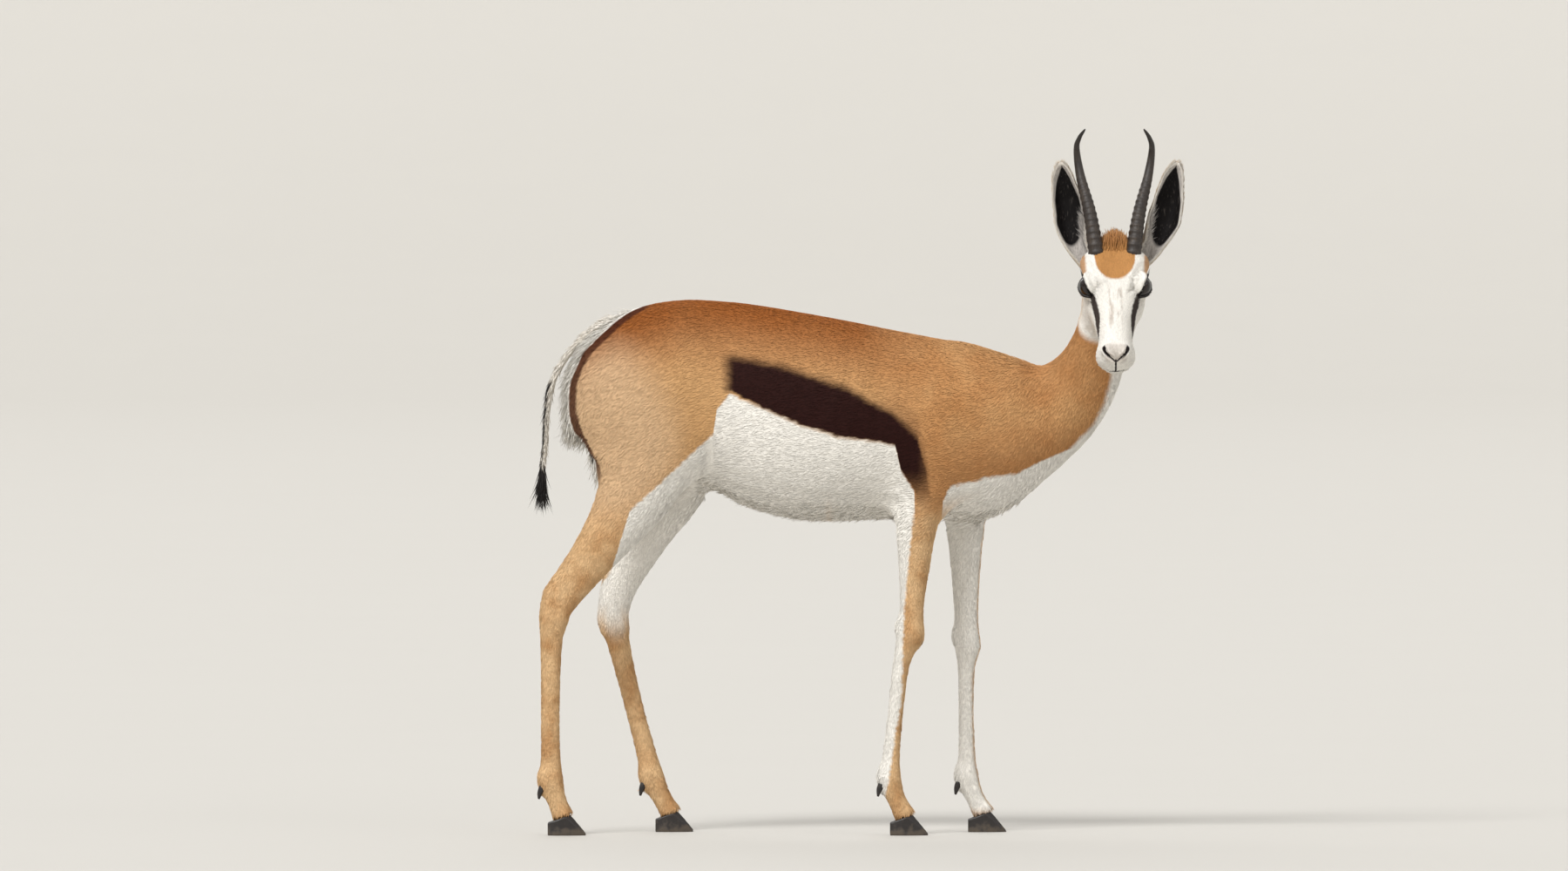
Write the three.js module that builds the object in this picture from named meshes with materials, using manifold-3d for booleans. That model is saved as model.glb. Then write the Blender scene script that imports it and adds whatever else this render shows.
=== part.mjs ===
// A springbok ewe at life size, standing with its head turned to its right.
// Millimetres. The body faces +X, +Y is the animal's left and +Z is up from the soles.
// The body is one smooth blended surface, wrapped part by part and parted by thin cuts.

import * as THREE from 'three';
import { mergeVertices } from 'three/addons/utils/BufferGeometryUtils.js';
import Module from 'manifold-3d';

const wasm = await Module();
wasm.setup();

// Driving dimensions

const GAP = 0.3;
const CUT_MARGIN = 8;
const FLARE = { fore: 12, hind: 18, head: 9 };
const THROAT = { deep: 60, sink: 3, reach: 14 };
const BODY_BLEND = 26;
const NECK_BLEND = 24;
const FACE_BLEND = 9;
const JOINT_BLEND = 10;
const REACH = 900;
const SOLE_TRIM = 6;
const FOOT_STATIONS = 1.9;
const TRUNK_END = { margin: 24, fore: 5, hindFrom: -100 };
const FORE_STUB = { high: 40, start: 4 };
const TAIL_BED = { spine: [[-392, 692], [-290, 690]], bottom: 520, front: -250, gaps: 2 };

// How rays look for the surface: the first step, the longest one and the number of halvings
const SEARCH = { share: 0.8, first: 0.8, longest: 12, halvings: 14, stride: 0.002 };

// Trunk from the buttocks to the chest: top line, belly line and half width
const TRUNK = [
  { x: -456, top: 738, bottom: 612, half: 56 },
  { x: -440, top: 774, bottom: 596, half: 74 },
  { x: -411, top: 799, bottom: 575, half: 88 },
  { x: -377, top: 820, bottom: 556, half: 98 },
  { x: -326, top: 836, bottom: 548, half: 104 },
  { x: -275, top: 842, bottom: 548, half: 103 },
  { x: -240, top: 841, bottom: 542, half: 99 },
  { x: -181, top: 836, bottom: 512, half: 100 },
  { x: -101, top: 823, bottom: 492, half: 110 },
  { x: -25, top: 809, bottom: 490, half: 114 },
  { x: 55, top: 793, bottom: 494, half: 106 },
  { x: 130, top: 779, bottom: 492, half: 92 },
  { x: 174, top: 770, bottom: 492, half: 82 },
  { x: 219, top: 748, bottom: 506, half: 68 },
  { x: 262, top: 716, bottom: 540, half: 50 },
  { x: 292, top: 670, bottom: 590, half: 26 },
];
const TRUNK_WIDEST = 0.47;
const TRUNK_ROUND = 12;
const TRUNK_SPINE = [[-392, 692], [-290, 690], [-190, 680], [-90, 662], [20, 650], [130, 638], [228, 632]];

// Neck from the chest up to the skull: centre, sideways place, depth and width halves
const NECK = [
  { x: 176, y: 0, z: 632, deep: 122, wide: 74 },
  { x: 247, y: 0, z: 646, deep: 103, wide: 64 },
  { x: 297, y: -2, z: 664, deep: 78, wide: 53 },
  { x: 335, y: -8, z: 697, deep: 62, wide: 46 },
  { x: 360, y: -22, z: 735, deep: 52, wide: 42 },
  { x: 374, y: -36, z: 775, deep: 45, wide: 41 },
  { x: 384, y: -48, z: 812, deep: 41, wide: 40 },
  { x: 391, y: -56, z: 846, deep: 36, wide: 36 },
  { x: 395, y: -60, z: 884, deep: 29, wide: 30 },
];

// Legs from the shoulder or hip down to the coronet: half depth along the stride, half width
const FORE_RIGHT = [
  { x: 136, y: -52, z: 672, deep: 52, wide: 34 },
  { x: 108, y: -60, z: 572, deep: 48, wide: 31 },
  { x: 86, y: -66, z: 492, deep: 35, wide: 27 },
  { x: 81, y: -68, z: 421, deep: 26, wide: 22 },
  { x: 77, y: -69, z: 357, deep: 19.5, wide: 18.5 },
  { x: 75, y: -70, z: 322, deep: 21, wide: 20 },
  { x: 67, y: -70, z: 293, deep: 17, wide: 17 },
  { x: 60, y: -70, z: 265, deep: 14, wide: 13.5 },
  { x: 52, y: -70, z: 195, deep: 13, wide: 12 },
  { x: 45, y: -70, z: 125, deep: 14.5, wide: 13 },
  { x: 43, y: -70, z: 86, deep: 19, wide: 17.5 },
  { x: 54, y: -70, z: 55, deep: 15, wide: 16.5 },
  { x: 68, y: -70, z: 28, deep: 18, wide: 19 },
  { x: 76, y: -70, z: 10, deep: 19, wide: 20 },
];
const FORE_LEFT = [
  { x: 160, y: 52, z: 668, deep: 52, wide: 34 },
  { x: 166, y: 60, z: 566, deep: 46, wide: 31 },
  { x: 163, y: 64, z: 490, deep: 33, wide: 27 },
  { x: 163, y: 64, z: 421, deep: 25, wide: 22 },
  { x: 164, y: 64, z: 340, deep: 19.5, wide: 18.5 },
  { x: 165, y: 64, z: 302, deep: 21, wide: 20 },
  { x: 164.5, y: 64, z: 270, deep: 16, wide: 16 },
  { x: 164, y: 64, z: 240, deep: 13.5, wide: 13 },
  { x: 164, y: 64, z: 180, deep: 13, wide: 12 },
  { x: 165, y: 64, z: 118, deep: 14.5, wide: 13 },
  { x: 166, y: 64, z: 84, deep: 19, wide: 17.5 },
  { x: 178, y: 64, z: 54, deep: 15, wide: 16.5 },
  { x: 192, y: 64, z: 28, deep: 18, wide: 19 },
  { x: 201, y: 64, z: 10, deep: 19, wide: 20 },
];
const HIND_RIGHT = [
  { x: -330, y: -48, z: 700, deep: 104, wide: 52 },
  { x: -334, y: -54, z: 622, deep: 92, wide: 50 },
  { x: -352, y: -60, z: 548, deep: 66, wide: 44 },
  { x: -388, y: -66, z: 487, deep: 47, wide: 34 },
  { x: -428, y: -70, z: 432, deep: 36, wide: 25 },
  { x: -462, y: -72, z: 388, deep: 31, wide: 20 },
  { x: -483, y: -73, z: 352, deep: 25, wide: 20 },
  { x: -488, y: -73, z: 312, deep: 19, wide: 17 },
  { x: -489, y: -73, z: 260, deep: 16.5, wide: 13.5 },
  { x: -490, y: -73, z: 180, deep: 15.5, wide: 12.5 },
  { x: -489, y: -73, z: 118, deep: 16.5, wide: 14 },
  { x: -488, y: -73, z: 82, deep: 20, wide: 18 },
  { x: -479, y: -73, z: 52, deep: 15.5, wide: 16.5 },
  { x: -469, y: -73, z: 28, deep: 18, wide: 19 },
  { x: -461, y: -73, z: 10, deep: 19, wide: 20 },
];
const HIND_LEFT = [
  { x: -310, y: 48, z: 700, deep: 104, wide: 52 },
  { x: -300, y: 54, z: 622, deep: 90, wide: 50 },
  { x: -304, y: 60, z: 556, deep: 68, wide: 44 },
  { x: -328, y: 65, z: 500, deep: 50, wide: 34 },
  { x: -354, y: 68, z: 446, deep: 37, wide: 25 },
  { x: -380, y: 70, z: 396, deep: 31, wide: 20 },
  { x: -392, y: 71, z: 352, deep: 26, wide: 20 },
  { x: -387, y: 71, z: 312, deep: 20, wide: 17 },
  { x: -376, y: 71, z: 262, deep: 17, wide: 13.5 },
  { x: -358, y: 71, z: 190, deep: 15.5, wide: 12.5 },
  { x: -340, y: 71, z: 122, deep: 16.5, wide: 14 },
  { x: -330, y: 71, z: 82, deep: 20, wide: 18 },
  { x: -315, y: 71, z: 52, deep: 15.5, wide: 16.5 },
  { x: -301, y: 71, z: 28, deep: 18, wide: 19 },
  { x: -292, y: 71, z: 10, deep: 19, wide: 20 },
];
// Points of hock, fronts and backs of the knees and sesamoids of the fetlocks
const JOINTS = [
  { at: [-486, -73, 376], radii: [16, 11, 20] },
  { at: [-404, 71, 332], radii: [14, 11, 20] },
  { at: [-482, -73, 338], radii: [19, 19, 17] },
  { at: [-388, 71, 326], radii: [19, 19, 17] },
  { at: [82, -70, 312], radii: [15, 20, 19] },
  { at: [56, -70, 328], radii: [8, 8, 12] },
  { at: [170, 64, 293], radii: [15, 20, 19] },
  { at: [146, 64, 310], radii: [8, 8, 12] },
  { at: [33, -70, 90], radii: [12, 17, 15] },
  { at: [156, 64, 88], radii: [12, 17, 15] },
  { at: [-499, -73, 87], radii: [12, 17.5, 16] },
  { at: [-340, 71, 87], radii: [12, 17.5, 16] },
];
const JOINT_TOP = 430;

const CORONET = { height: 29, rise: 0.36 };
const CLAW = {
  length: 60, heel: 25, wide: 23, high: 44, split: 3, sides: 8, rows: 6,
  narrow: 0.28, rear: 0.35, fall: 1.15, toe: 2.5, inside: 0.9, apart: 0.42, close: 2,
  round: { from: 0.12, span: 0.84, power: 0.6 },
};
const DEWCLAW = { long: 14, radius: 6, side: 10, drop: 15, splay: 0.4, rake: -0.5 };

// Head: forward from the poll towards the nose, sideways, and up from the face
const HEAD_ORIGIN = new THREE.Vector3(395, -72, 929);
const HEAD_PITCH = THREE.MathUtils.degToRad(45);
const HEAD = [
  { x: -14, top: -20, bottom: -42, half: 22 },
  { x: -5, top: -8, bottom: -58, half: 33 },
  { x: 14, top: 4, bottom: -78, half: 41 },
  { x: 40, top: 11, bottom: -97, half: 45 },
  { x: 66, top: 12, bottom: -104, half: 47 },
  { x: 92, top: 7, bottom: -98, half: 45 },
  { x: 118, top: 0, bottom: -90, half: 38 },
  { x: 145, top: -7, bottom: -84, half: 31 },
  { x: 172, top: -13, bottom: -81, half: 27 },
  { x: 192, top: -17, bottom: -85, half: 27 },
  { x: 206, top: -23, bottom: -83, half: 24 },
  { x: 214, top: -33, bottom: -74, half: 17 },
];
// Swellings on each side of the head: eye sockets, brows, jaws, crown, temples, horn roots, lips and nose
const HEAD_FORMS = [
  { at: [78, 34, -14], radii: [31, 21.5, 23] },
  { at: [74, 30, 3], radii: [30, 18, 12] },
  { at: [62, 34, -60], radii: [38, 13, 34] },
  { at: [12, 0, 6], radii: [16, 20, 13] },
  { at: [38, 39, -10], radii: [24, 17, 17] },
  { at: [37, 24, 6], radii: [20, 18, 12] },
  { at: [198, 16, -52], radii: [19, 15, 17] },
  { at: [206, 9, -28], radii: [12, 13, 10] },
];
const HEAD_ZONE = { low: 640, behind: 250 };
const FACE_SPINE = [[18, -40], [70, -45], [120, -44], [160, -46], [190, -50]];
const HEAD_WIDEST = 0.55;
const HEAD_ROUND = 6;
const EYE = {
  forward: 80, side: 38, up: -15, radius: 18.5, socket: 0.3, lid: 2.4, open: 33, gape: 24,
  look: [0.36, 0.86, 0.3],
};
const NOSTRIL = { wide: 8, high: 9, path: [[202, 22, -18], [209, 18, -26], [215, 11, -33], [219, 6, -37]] };
const LIPS = { back: 158, reach: 57, half: 28.5, up: -58, dip: 7, wide: 8, high: 6, bends: 8 };

// Horns: the lower part ringed, the path from the root sideways, back and up
const HORN = { forward: 33, side: 26, up: 6, radius: 13.2, tip: 1.6, rings: 13, ridge: 0.06, ringed: 0.66 };
const HORN_SHAPE = { sides: 10, flat: 0.92, taper: 0.62 };
const HORN_TIP_ROWS = 9;
const HORN_PATH = [
  [0, 4, -18], [4, 2, 12], [13, 20, 68], [27, 44, 124], [33, 48, 166], [29, 40, 184], [20, 30, 198],
];

// Ears: root on the skull, path up the leaf and half width along it
const EAR = {
  forward: 20, side: 50, up: -16, wall: 3.2, turn: 0.22, furl: 140, open: 58, quick: 1.7, lean: 0.45,
};
const EAR_PATH = [[-14, 2, -14], [7, 8, 22], [19, 14, 62], [27, 18, 104], [34, 18, 152]];
const EAR_LEAF = [
  { x: 0, half: 14 }, { x: 0.25, half: 19 }, { x: 0.5, half: 26.5 }, { x: 0.7, half: 25 },
  { x: 0.87, half: 17 }, { x: 0.95, half: 10 }, { x: 1, half: 2 },
];

// Tail: root, path down behind the buttocks and half thicknesses
const TAIL = [
  { x: -372, y: 0, z: 806, deep: 10, wide: 13 },
  { x: -398, y: -4, z: 805, deep: 9, wide: 12 },
  { x: -432, y: -8, z: 786, deep: 7, wide: 10 },
  { x: -462, y: -10, z: 754, deep: 6, wide: 8.5 },
  { x: -484, y: -12, z: 716, deep: 5, wide: 7 },
  { x: -494, y: -12, z: 672, deep: 4, wide: 5 },
  { x: -498, y: -12, z: 622, deep: 3.4, wide: 3.8 },
  { x: -502, y: -12, z: 582, deep: 3.4, wide: 3.8 },
];
const TUFT = {
  locks: 10, long: 56, wide: 8, thick: 3.2, drop: 12, lean: -0.16, splay: [0.3, 0.24], seed: 7,
  bend: [6, 6], sway: 4, shortest: 0.8, spread: 0.3,
};
const LOCK = { sides: 5, rows: 3, taper: 0.6 };

// Parting planes, each with a point on it and the direction of the piece it frees
const CUTS = {
  hind: { point: [-335, 0, 573], normal: [-0.428, 0, -0.904], reach: 290 },
  fore: { point: [120, 0, 480], normal: [0, 0, -1], reach: 150 },
  neck: { point: [257, 0, 646], normal: [0.975, 0, 0.222], reach: 700 },
};
const NAPE = { forward: -4, up: 0, throatForward: 42, throatUp: -112 };

// Repeatable random numbers

function seeded(seed) {
  let state = seed;
  return () => {
    state = (state * 1664525 + 1013904223) % 4294967296;
    return state / 4294967296;
  };
}

// Fields: each gives a rough signed distance, negative inside the flesh

function smoothMin(a, b, blend) {
  const h = Math.max(blend - Math.abs(a - b), 0) / blend;
  return Math.min(a, b) - (h * h * blend) / 4;
}

function track(stations, key) {
  const xs = stations.map((s) => s.x);
  const ys = stations.map((s) => s[key]);
  const slopes = xs.map((x, i) => {
    const lo = Math.max(i - 1, 0);
    const hi = Math.min(i + 1, xs.length - 1);
    return (ys[hi] - ys[lo]) / (xs[hi] - xs[lo]);
  });
  return (x) => {
    if (x <= xs[0]) return ys[0];
    if (x >= xs[xs.length - 1]) return ys[ys.length - 1];
    const i = xs.findIndex((edge) => edge > x) - 1;
    const w = xs[i + 1] - xs[i];
    const t = (x - xs[i]) / w;
    const t2 = t * t;
    const t3 = t2 * t;
    return ys[i] * (2 * t3 - 3 * t2 + 1) + ys[i + 1] * (3 * t2 - 2 * t3)
      + w * slopes[i] * (t3 - 2 * t2 + t) + w * slopes[i + 1] * (t3 - t2);
  };
}

function loftField(stations, widest, round) {
  const top = track(stations, 'top');
  const bottom = track(stations, 'bottom');
  const half = track(stations, 'half');
  const first = stations[0].x;
  const last = stations[stations.length - 1].x;
  return (x, y, z) => {
    const at = Math.min(Math.max(x, first), last);
    const low = bottom(at);
    const high = top(at);
    const level = low + (high - low) * widest;
    const tall = z > level ? high - level : level - low;
    const wide = half(at);
    const past = Math.abs(x - at);
    const scale = Math.min(tall, wide);
    return (Math.hypot(y / wide, (z - level) / tall, past / round) - 1) * scale;
  };
}

function chainField(stations, steps) {
  const centres = new THREE.CatmullRomCurve3(stations.map((s) => new THREE.Vector3(s.x, s.y, s.z)));
  const sizes = new THREE.CatmullRomCurve3(stations.map((s) => new THREE.Vector3(s.deep, s.wide, 0)));
  const links = [];
  for (let i = 0; i < steps; i += 1) {
    const from = centres.getPoint(i / steps);
    const to = centres.getPoint((i + 1) / steps);
    const along = to.clone().sub(from);
    const length = along.length();
    along.divideScalar(length);
    const side = new THREE.Vector3(0, 1, 0).addScaledVector(along, -along.y).normalize();
    const fore = new THREE.Vector3().crossVectors(along, side);
    links.push({
      from, along, length, side, fore, a: sizes.getPoint(i / steps), b: sizes.getPoint((i + 1) / steps),
    });
  }
  return (x, y, z) => {
    let best = Infinity;
    for (const link of links) {
      const dx = x - link.from.x;
      const dy = y - link.from.y;
      const dz = z - link.from.z;
      const run = dx * link.along.x + dy * link.along.y + dz * link.along.z;
      const t = Math.min(Math.max(run / link.length, 0), 1);
      const past = run - t * link.length;
      const deep = link.a.x + (link.b.x - link.a.x) * t;
      const wide = link.a.y + (link.b.y - link.a.y) * t;
      const s = dx * link.side.x + dy * link.side.y + dz * link.side.z;
      const f = dx * link.fore.x + dy * link.fore.y + dz * link.fore.z;
      const scale = Math.min(deep, wide);
      const d = (Math.hypot(s / wide, f / deep, past / scale) - 1) * scale;
      if (d < best) best = d;
    }
    return best;
  };
}

function ballField(centre, radii) {
  const scale = Math.min(...radii);
  return (x, y, z) => (Math.hypot(
    (x - centre[0]) / radii[0],
    (y - centre[1]) / radii[1],
    (z - centre[2]) / radii[2],
  ) - 1) * scale;
}

// Head frame

const headForward = new THREE.Vector3(0, -Math.cos(HEAD_PITCH), -Math.sin(HEAD_PITCH));
const headUp = new THREE.Vector3(0, -Math.sin(HEAD_PITCH), Math.cos(HEAD_PITCH));
const headSide = new THREE.Vector3().crossVectors(headUp, headForward);
const headMatrix = new THREE.Matrix4()
  .makeBasis(headForward, headSide, headUp)
  .setPosition(HEAD_ORIGIN);
const headInverse = headMatrix.clone().invert();

function headPoint(forward, side, up) {
  return new THREE.Vector3(forward, side, up).applyMatrix4(headMatrix);
}

const skull = loftField(HEAD, HEAD_WIDEST, HEAD_ROUND);
const faceForms = HEAD_FORMS.map(({ at, radii }) => ballField(at, radii));

function headField(x, y, z) {
  const p = new THREE.Vector3(x, y, z).applyMatrix4(headInverse);
  const side = Math.abs(p.y);
  let d = skull(p.x, p.y, p.z);
  for (const form of faceForms) d = smoothMin(d, form(p.x, side, p.z), FACE_BLEND);
  return d;
}

const trunkField = loftField(TRUNK, TRUNK_WIDEST, TRUNK_ROUND);
const neckField = chainField(NECK, 22);
const legFields = new Map(
  [FORE_RIGHT, FORE_LEFT, HIND_RIGHT, HIND_LEFT].map((leg) => [leg, chainField(leg, 34)]),
);

const jointForms = JOINTS.map(({ at, radii }) => ballField(at, radii));

function flesh(x, y, z) {
  let d = trunkField(x, y, z);
  for (const leg of legFields.values()) d = smoothMin(d, leg(x, y, z), BODY_BLEND);
  if (z < JOINT_TOP) for (const form of jointForms) d = smoothMin(d, form(x, y, z), JOINT_BLEND);
  d = smoothMin(d, neckField(x, y, z), NECK_BLEND);
  if (z > HEAD_ZONE.low && x > HEAD_ZONE.behind) d = smoothMin(d, headField(x, y, z), NECK_BLEND);
  return d;
}

// Wrapping: the vertices of a capsule are sent out from a spine until they meet the field

function crossing(spine, distance, value) {
  let t = 0;
  for (;;) {
    const p = spine.getPoint(t);
    if (distance(p.x, p.y, p.z) >= value) return t;
    t += SEARCH.stride;
  }
}

function curveOf(stations) {
  return new THREE.CatmullRomCurve3(stations.map((s) => new THREE.Vector3(s.x, s.y, s.z)));
}

function wrap({
  spine, from = 0, to = 1, around, along, cap, field, level = 0, side = [0, 1, 0], face = null,
}) {
  const geometry = new THREE.CapsuleGeometry(1, 2, cap, around, along);
  geometry.deleteAttribute('normal');
  geometry.deleteAttribute('uv');
  const place = geometry.attributes.position;
  const ray = new THREE.Vector3();
  const p = new THREE.Vector3();
  const sideways = new THREE.Vector3(...side);
  for (let i = 0; i < place.count; i += 1) {
    const axial = Math.min(Math.max(place.getY(i), -1), 1);
    const t = from + ((axial + 1) / 2) * (to - from);
    const origin = spine.getPoint(t);
    const along3 = spine.getTangent(t);
    if (face) {
      const turn = Math.min((t - from) / (to - from) / face.blend, 1);
      along3.lerp(face.normal, (1 - turn) ** 2).normalize();
    }
    const lateral = sideways.clone().addScaledVector(along3, -sideways.dot(along3)).normalize();
    const fore = new THREE.Vector3().crossVectors(along3, lateral);
    ray.set(0, 0, 0)
      .addScaledVector(lateral, place.getX(i))
      .addScaledVector(along3, place.getY(i) - axial)
      .addScaledVector(fore, -place.getZ(i))
      .normalize();
    let inner = 0;
    let outer = 1;
    for (;;) {
      p.copy(origin).addScaledVector(ray, outer);
      const d = field(p.x, p.y, p.z) - level;
      if (d > 0) break;
      inner = outer;
      outer += Math.min(Math.max(-SEARCH.share * d, SEARCH.first), SEARCH.longest);
    }
    for (let k = 0; k < SEARCH.halvings; k += 1) {
      const middle = (inner + outer) / 2;
      p.copy(origin).addScaledVector(ray, middle);
      if (field(p.x, p.y, p.z) - level > 0) outer = middle;
      else inner = middle;
    }
    p.copy(origin).addScaledVector(ray, inner);
    place.setXYZ(i, p.x, p.y, p.z);
  }
  return geometry;
}

// Solids

function solid(source) {
  const geometry = source.clone();
  geometry.deleteAttribute('normal');
  geometry.deleteAttribute('uv');
  const merged = mergeVertices(geometry, 1e-4);
  const mesh = new wasm.Mesh({
    numProp: 3,
    vertProperties: new Float32Array(merged.attributes.position.array),
    triVerts: new Uint32Array(merged.index.array),
  });
  const body = new wasm.Manifold(mesh);
  if (body.volume() > 0) return body;
  const turned = mesh.triVerts.slice();
  for (let i = 0; i < turned.length; i += 3) {
    turned[i] = mesh.triVerts[i + 1];
    turned[i + 1] = mesh.triVerts[i];
  }
  return new wasm.Manifold(new wasm.Mesh({
    numProp: 3, vertProperties: mesh.vertProperties, triVerts: turned,
  }));
}

function largest(body) {
  return body.decompose().reduce((best, piece) => (piece.volume() > best.volume() ? piece : best));
}

function geometryOf(body) {
  const mesh = largest(body).getMesh();
  const geometry = new THREE.BufferGeometry();
  geometry.setAttribute('position', new THREE.BufferAttribute(new Float32Array(mesh.vertProperties), 3));
  geometry.setIndex(new THREE.BufferAttribute(new Uint32Array(mesh.triVerts), 1));
  geometry.computeVertexNormals();
  return geometry;
}

function halfSpace(point, normal, reach, shift = 0) {
  const toward = new THREE.Vector3(...normal).normalize();
  const box = new THREE.BoxGeometry(2 * reach, 2 * reach, 2 * reach);
  box.translate(0, 0, reach + shift);
  box.applyQuaternion(new THREE.Quaternion().setFromUnitVectors(new THREE.Vector3(0, 0, 1), toward));
  box.translate(...point);
  return solid(box);
}

function beyond(point, normal) {
  const toward = new THREE.Vector3(...normal).normalize();
  const at = new THREE.Vector3(...point);
  return (x, y, z) => (x - at.x) * toward.x + (y - at.y) * toward.y + (z - at.z) * toward.z;
}

// Materials

const finish = {
  coat: new THREE.MeshStandardMaterial({ color: 0xb98250, roughness: 0.85, metalness: 0 }),
  face: new THREE.MeshStandardMaterial({ color: 0xece8de, roughness: 0.85, metalness: 0 }),
  leg: new THREE.MeshStandardMaterial({ color: 0xcda06e, roughness: 0.85, metalness: 0 }),
  ear: new THREE.MeshStandardMaterial({ color: 0x8f8a84, roughness: 0.85, metalness: 0 }),
  horn: new THREE.MeshStandardMaterial({ color: 0x332a24, roughness: 0.4, metalness: 0 }),
  hoof: new THREE.MeshStandardMaterial({ color: 0x1e1a18, roughness: 0.45, metalness: 0 }),
  eye: new THREE.MeshStandardMaterial({ color: 0x0c0908, roughness: 0.08, metalness: 0 }),
};

const springbok = new THREE.Group();

function addNode(name, body, material) {
  const node = new THREE.Mesh(geometryOf(body), material);
  node.name = name;
  springbok.add(node);
}

// Flesh nodes

const hindSide = beyond(CUTS.hind.point, CUTS.hind.normal);
const neckSide = beyond(CUTS.neck.point, CUTS.neck.normal);
const foreTop = CUTS.fore.point[2];
const headTop = headPoint(NAPE.forward, 0, NAPE.up);
const headThroat = headPoint(NAPE.throatForward, 0, NAPE.throatUp);
const napeLine = headThroat.clone().sub(headTop).normalize();
const napeNormal = new THREE.Vector3(1, 0, 0).cross(napeLine);
if (napeNormal.y > 0) napeNormal.negate();

function trunkLimit(x, y, z) {
  const { margin, fore, hindFrom } = TRUNK_END;
  const hind = x < hindFrom ? hindSide(x, y, z) : hindFrom;
  return Math.max(hind, neckSide(x, y, z), foreTop - z + margin + fore) - margin;
}

function makeTrunk() {
  const points = TRUNK_SPINE.map(([x, z]) => new THREE.Vector3(x, 0, z));
  const body = solid(wrap({
    spine: new THREE.CatmullRomCurve3(points),
    around: 34,
    along: 33,
    cap: 6,
    field: (x, y, z) => Math.max(flesh(x, y, z), trunkLimit(x, y, z)),
  }));
  return body.add(foreBodies[0]).add(foreBodies[1])
    .subtract(halfSpace(CUTS.hind.point, CUTS.hind.normal, CUTS.hind.reach, -GAP / 2))
    .subtract(halfSpace(CUTS.fore.point, CUTS.fore.normal, CUTS.fore.reach, -GAP / 2))
    .subtract(halfSpace(CUTS.neck.point, CUTS.neck.normal, CUTS.neck.reach, -GAP / 2));
}

function headWedge(grow) {
  const behind = halfSpace(headTop.toArray(), napeNormal.toArray(), REACH, -grow);
  const under = halfSpace(headThroat.toArray(), headUp.toArray(), REACH, -grow);
  return behind.intersect(under);
}

const faceSpine = new THREE.CatmullRomCurve3(FACE_SPINE.map(([forward, up]) => headPoint(forward, 0, up)));

const behindNape = beyond(headTop.toArray(), napeNormal.toArray());
const underJaw = beyond(headThroat.toArray(), headUp.toArray());

function inHead(x, y, z) {
  return Math.min(behindNape(x, y, z), underJaw(x, y, z));
}

function sunk(x, y, z) {
  if (inHead(x, y, z) < CUT_MARGIN) return 0;
  const near = (THROAT.reach - headField(x, y, z)) / THROAT.reach;
  return THROAT.sink * Math.min(Math.max(near, 0), 1);
}

function headWrap(level) {
  return solid(wrap({
    spine: faceSpine,
    around: 32,
    along: 21,
    cap: 7,
    level,
    side: headSide.toArray(),
    field: (x, y, z) => Math.max(
      flesh(x, y, z), headField(x, y, z) - FLARE.head, -inHead(x, y, z) - CUT_MARGIN,
    ),
  }));
}

function neckWrap() {
  const spine = curveOf(NECK);
  return solid(wrap({
    spine,
    from: crossing(spine, neckSide, -CUT_MARGIN / 2),
    face: { normal: new THREE.Vector3(...CUTS.neck.normal), blend: 0.4 },
    around: 24,
    along: 18,
    cap: 4,
    field: (x, y, z) => Math.max(
      flesh(x, y, z) + sunk(x, y, z), -neckSide(x, y, z) - CUT_MARGIN, inHead(x, y, z) - THROAT.deep,
    ),
  }));
}

function makeNeck(joined) {
  return joined
    .intersect(halfSpace(CUTS.neck.point, CUTS.neck.normal, CUTS.neck.reach, GAP / 2))
    .subtract(headWedge(GAP / 2));
}

function alongPath(points, section, steps) {
  const path = new THREE.CatmullRomCurve3(points);
  return solid(new THREE.ExtrudeGeometry(section, { steps, bevelEnabled: false, extrudePath: path }));
}

function diamond(wide, high) {
  return new THREE.Shape([
    new THREE.Vector2(wide / 2, 0), new THREE.Vector2(0, high / 2),
    new THREE.Vector2(-wide / 2, 0), new THREE.Vector2(0, -high / 2),
  ]);
}

function eyeOpening(side) {
  const half = EYE.open / 2;
  const tall = EYE.gape / 2;
  const almond = new THREE.Shape();
  almond.moveTo(-half, 0);
  almond.quadraticCurveTo(-half * 0.35, tall * 1.35, half * 0.25, tall);
  almond.quadraticCurveTo(half * 0.75, tall * 0.6, half, -tall * 0.25);
  almond.quadraticCurveTo(0, -tall * 1.5, -half, 0);
  const prism = new THREE.ExtrudeGeometry(almond, {
    depth: 2 * EYE.radius, curveSegments: 5, bevelEnabled: false,
  });
  const look = new THREE.Vector3(EYE.look[0], side * EYE.look[1], EYE.look[2]).normalize();
  const long = new THREE.Vector3(1, 0, 0).addScaledVector(look, -look.x).normalize();
  const upward = new THREE.Vector3().crossVectors(long, look).multiplyScalar(side);
  const place = new THREE.Matrix4().makeBasis(long, upward, look)
    .setPosition(EYE.forward, side * EYE.side, EYE.up);
  prism.applyMatrix4(place);
  prism.applyMatrix4(headMatrix);
  return solid(prism);
}

function eyeBall(side, radius) {
  const ball = new THREE.SphereGeometry(radius, 12, 9);
  const at = headPoint(EYE.forward, side * EYE.side, EYE.up);
  ball.translate(at.x, at.y, at.z);
  return solid(ball);
}

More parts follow.
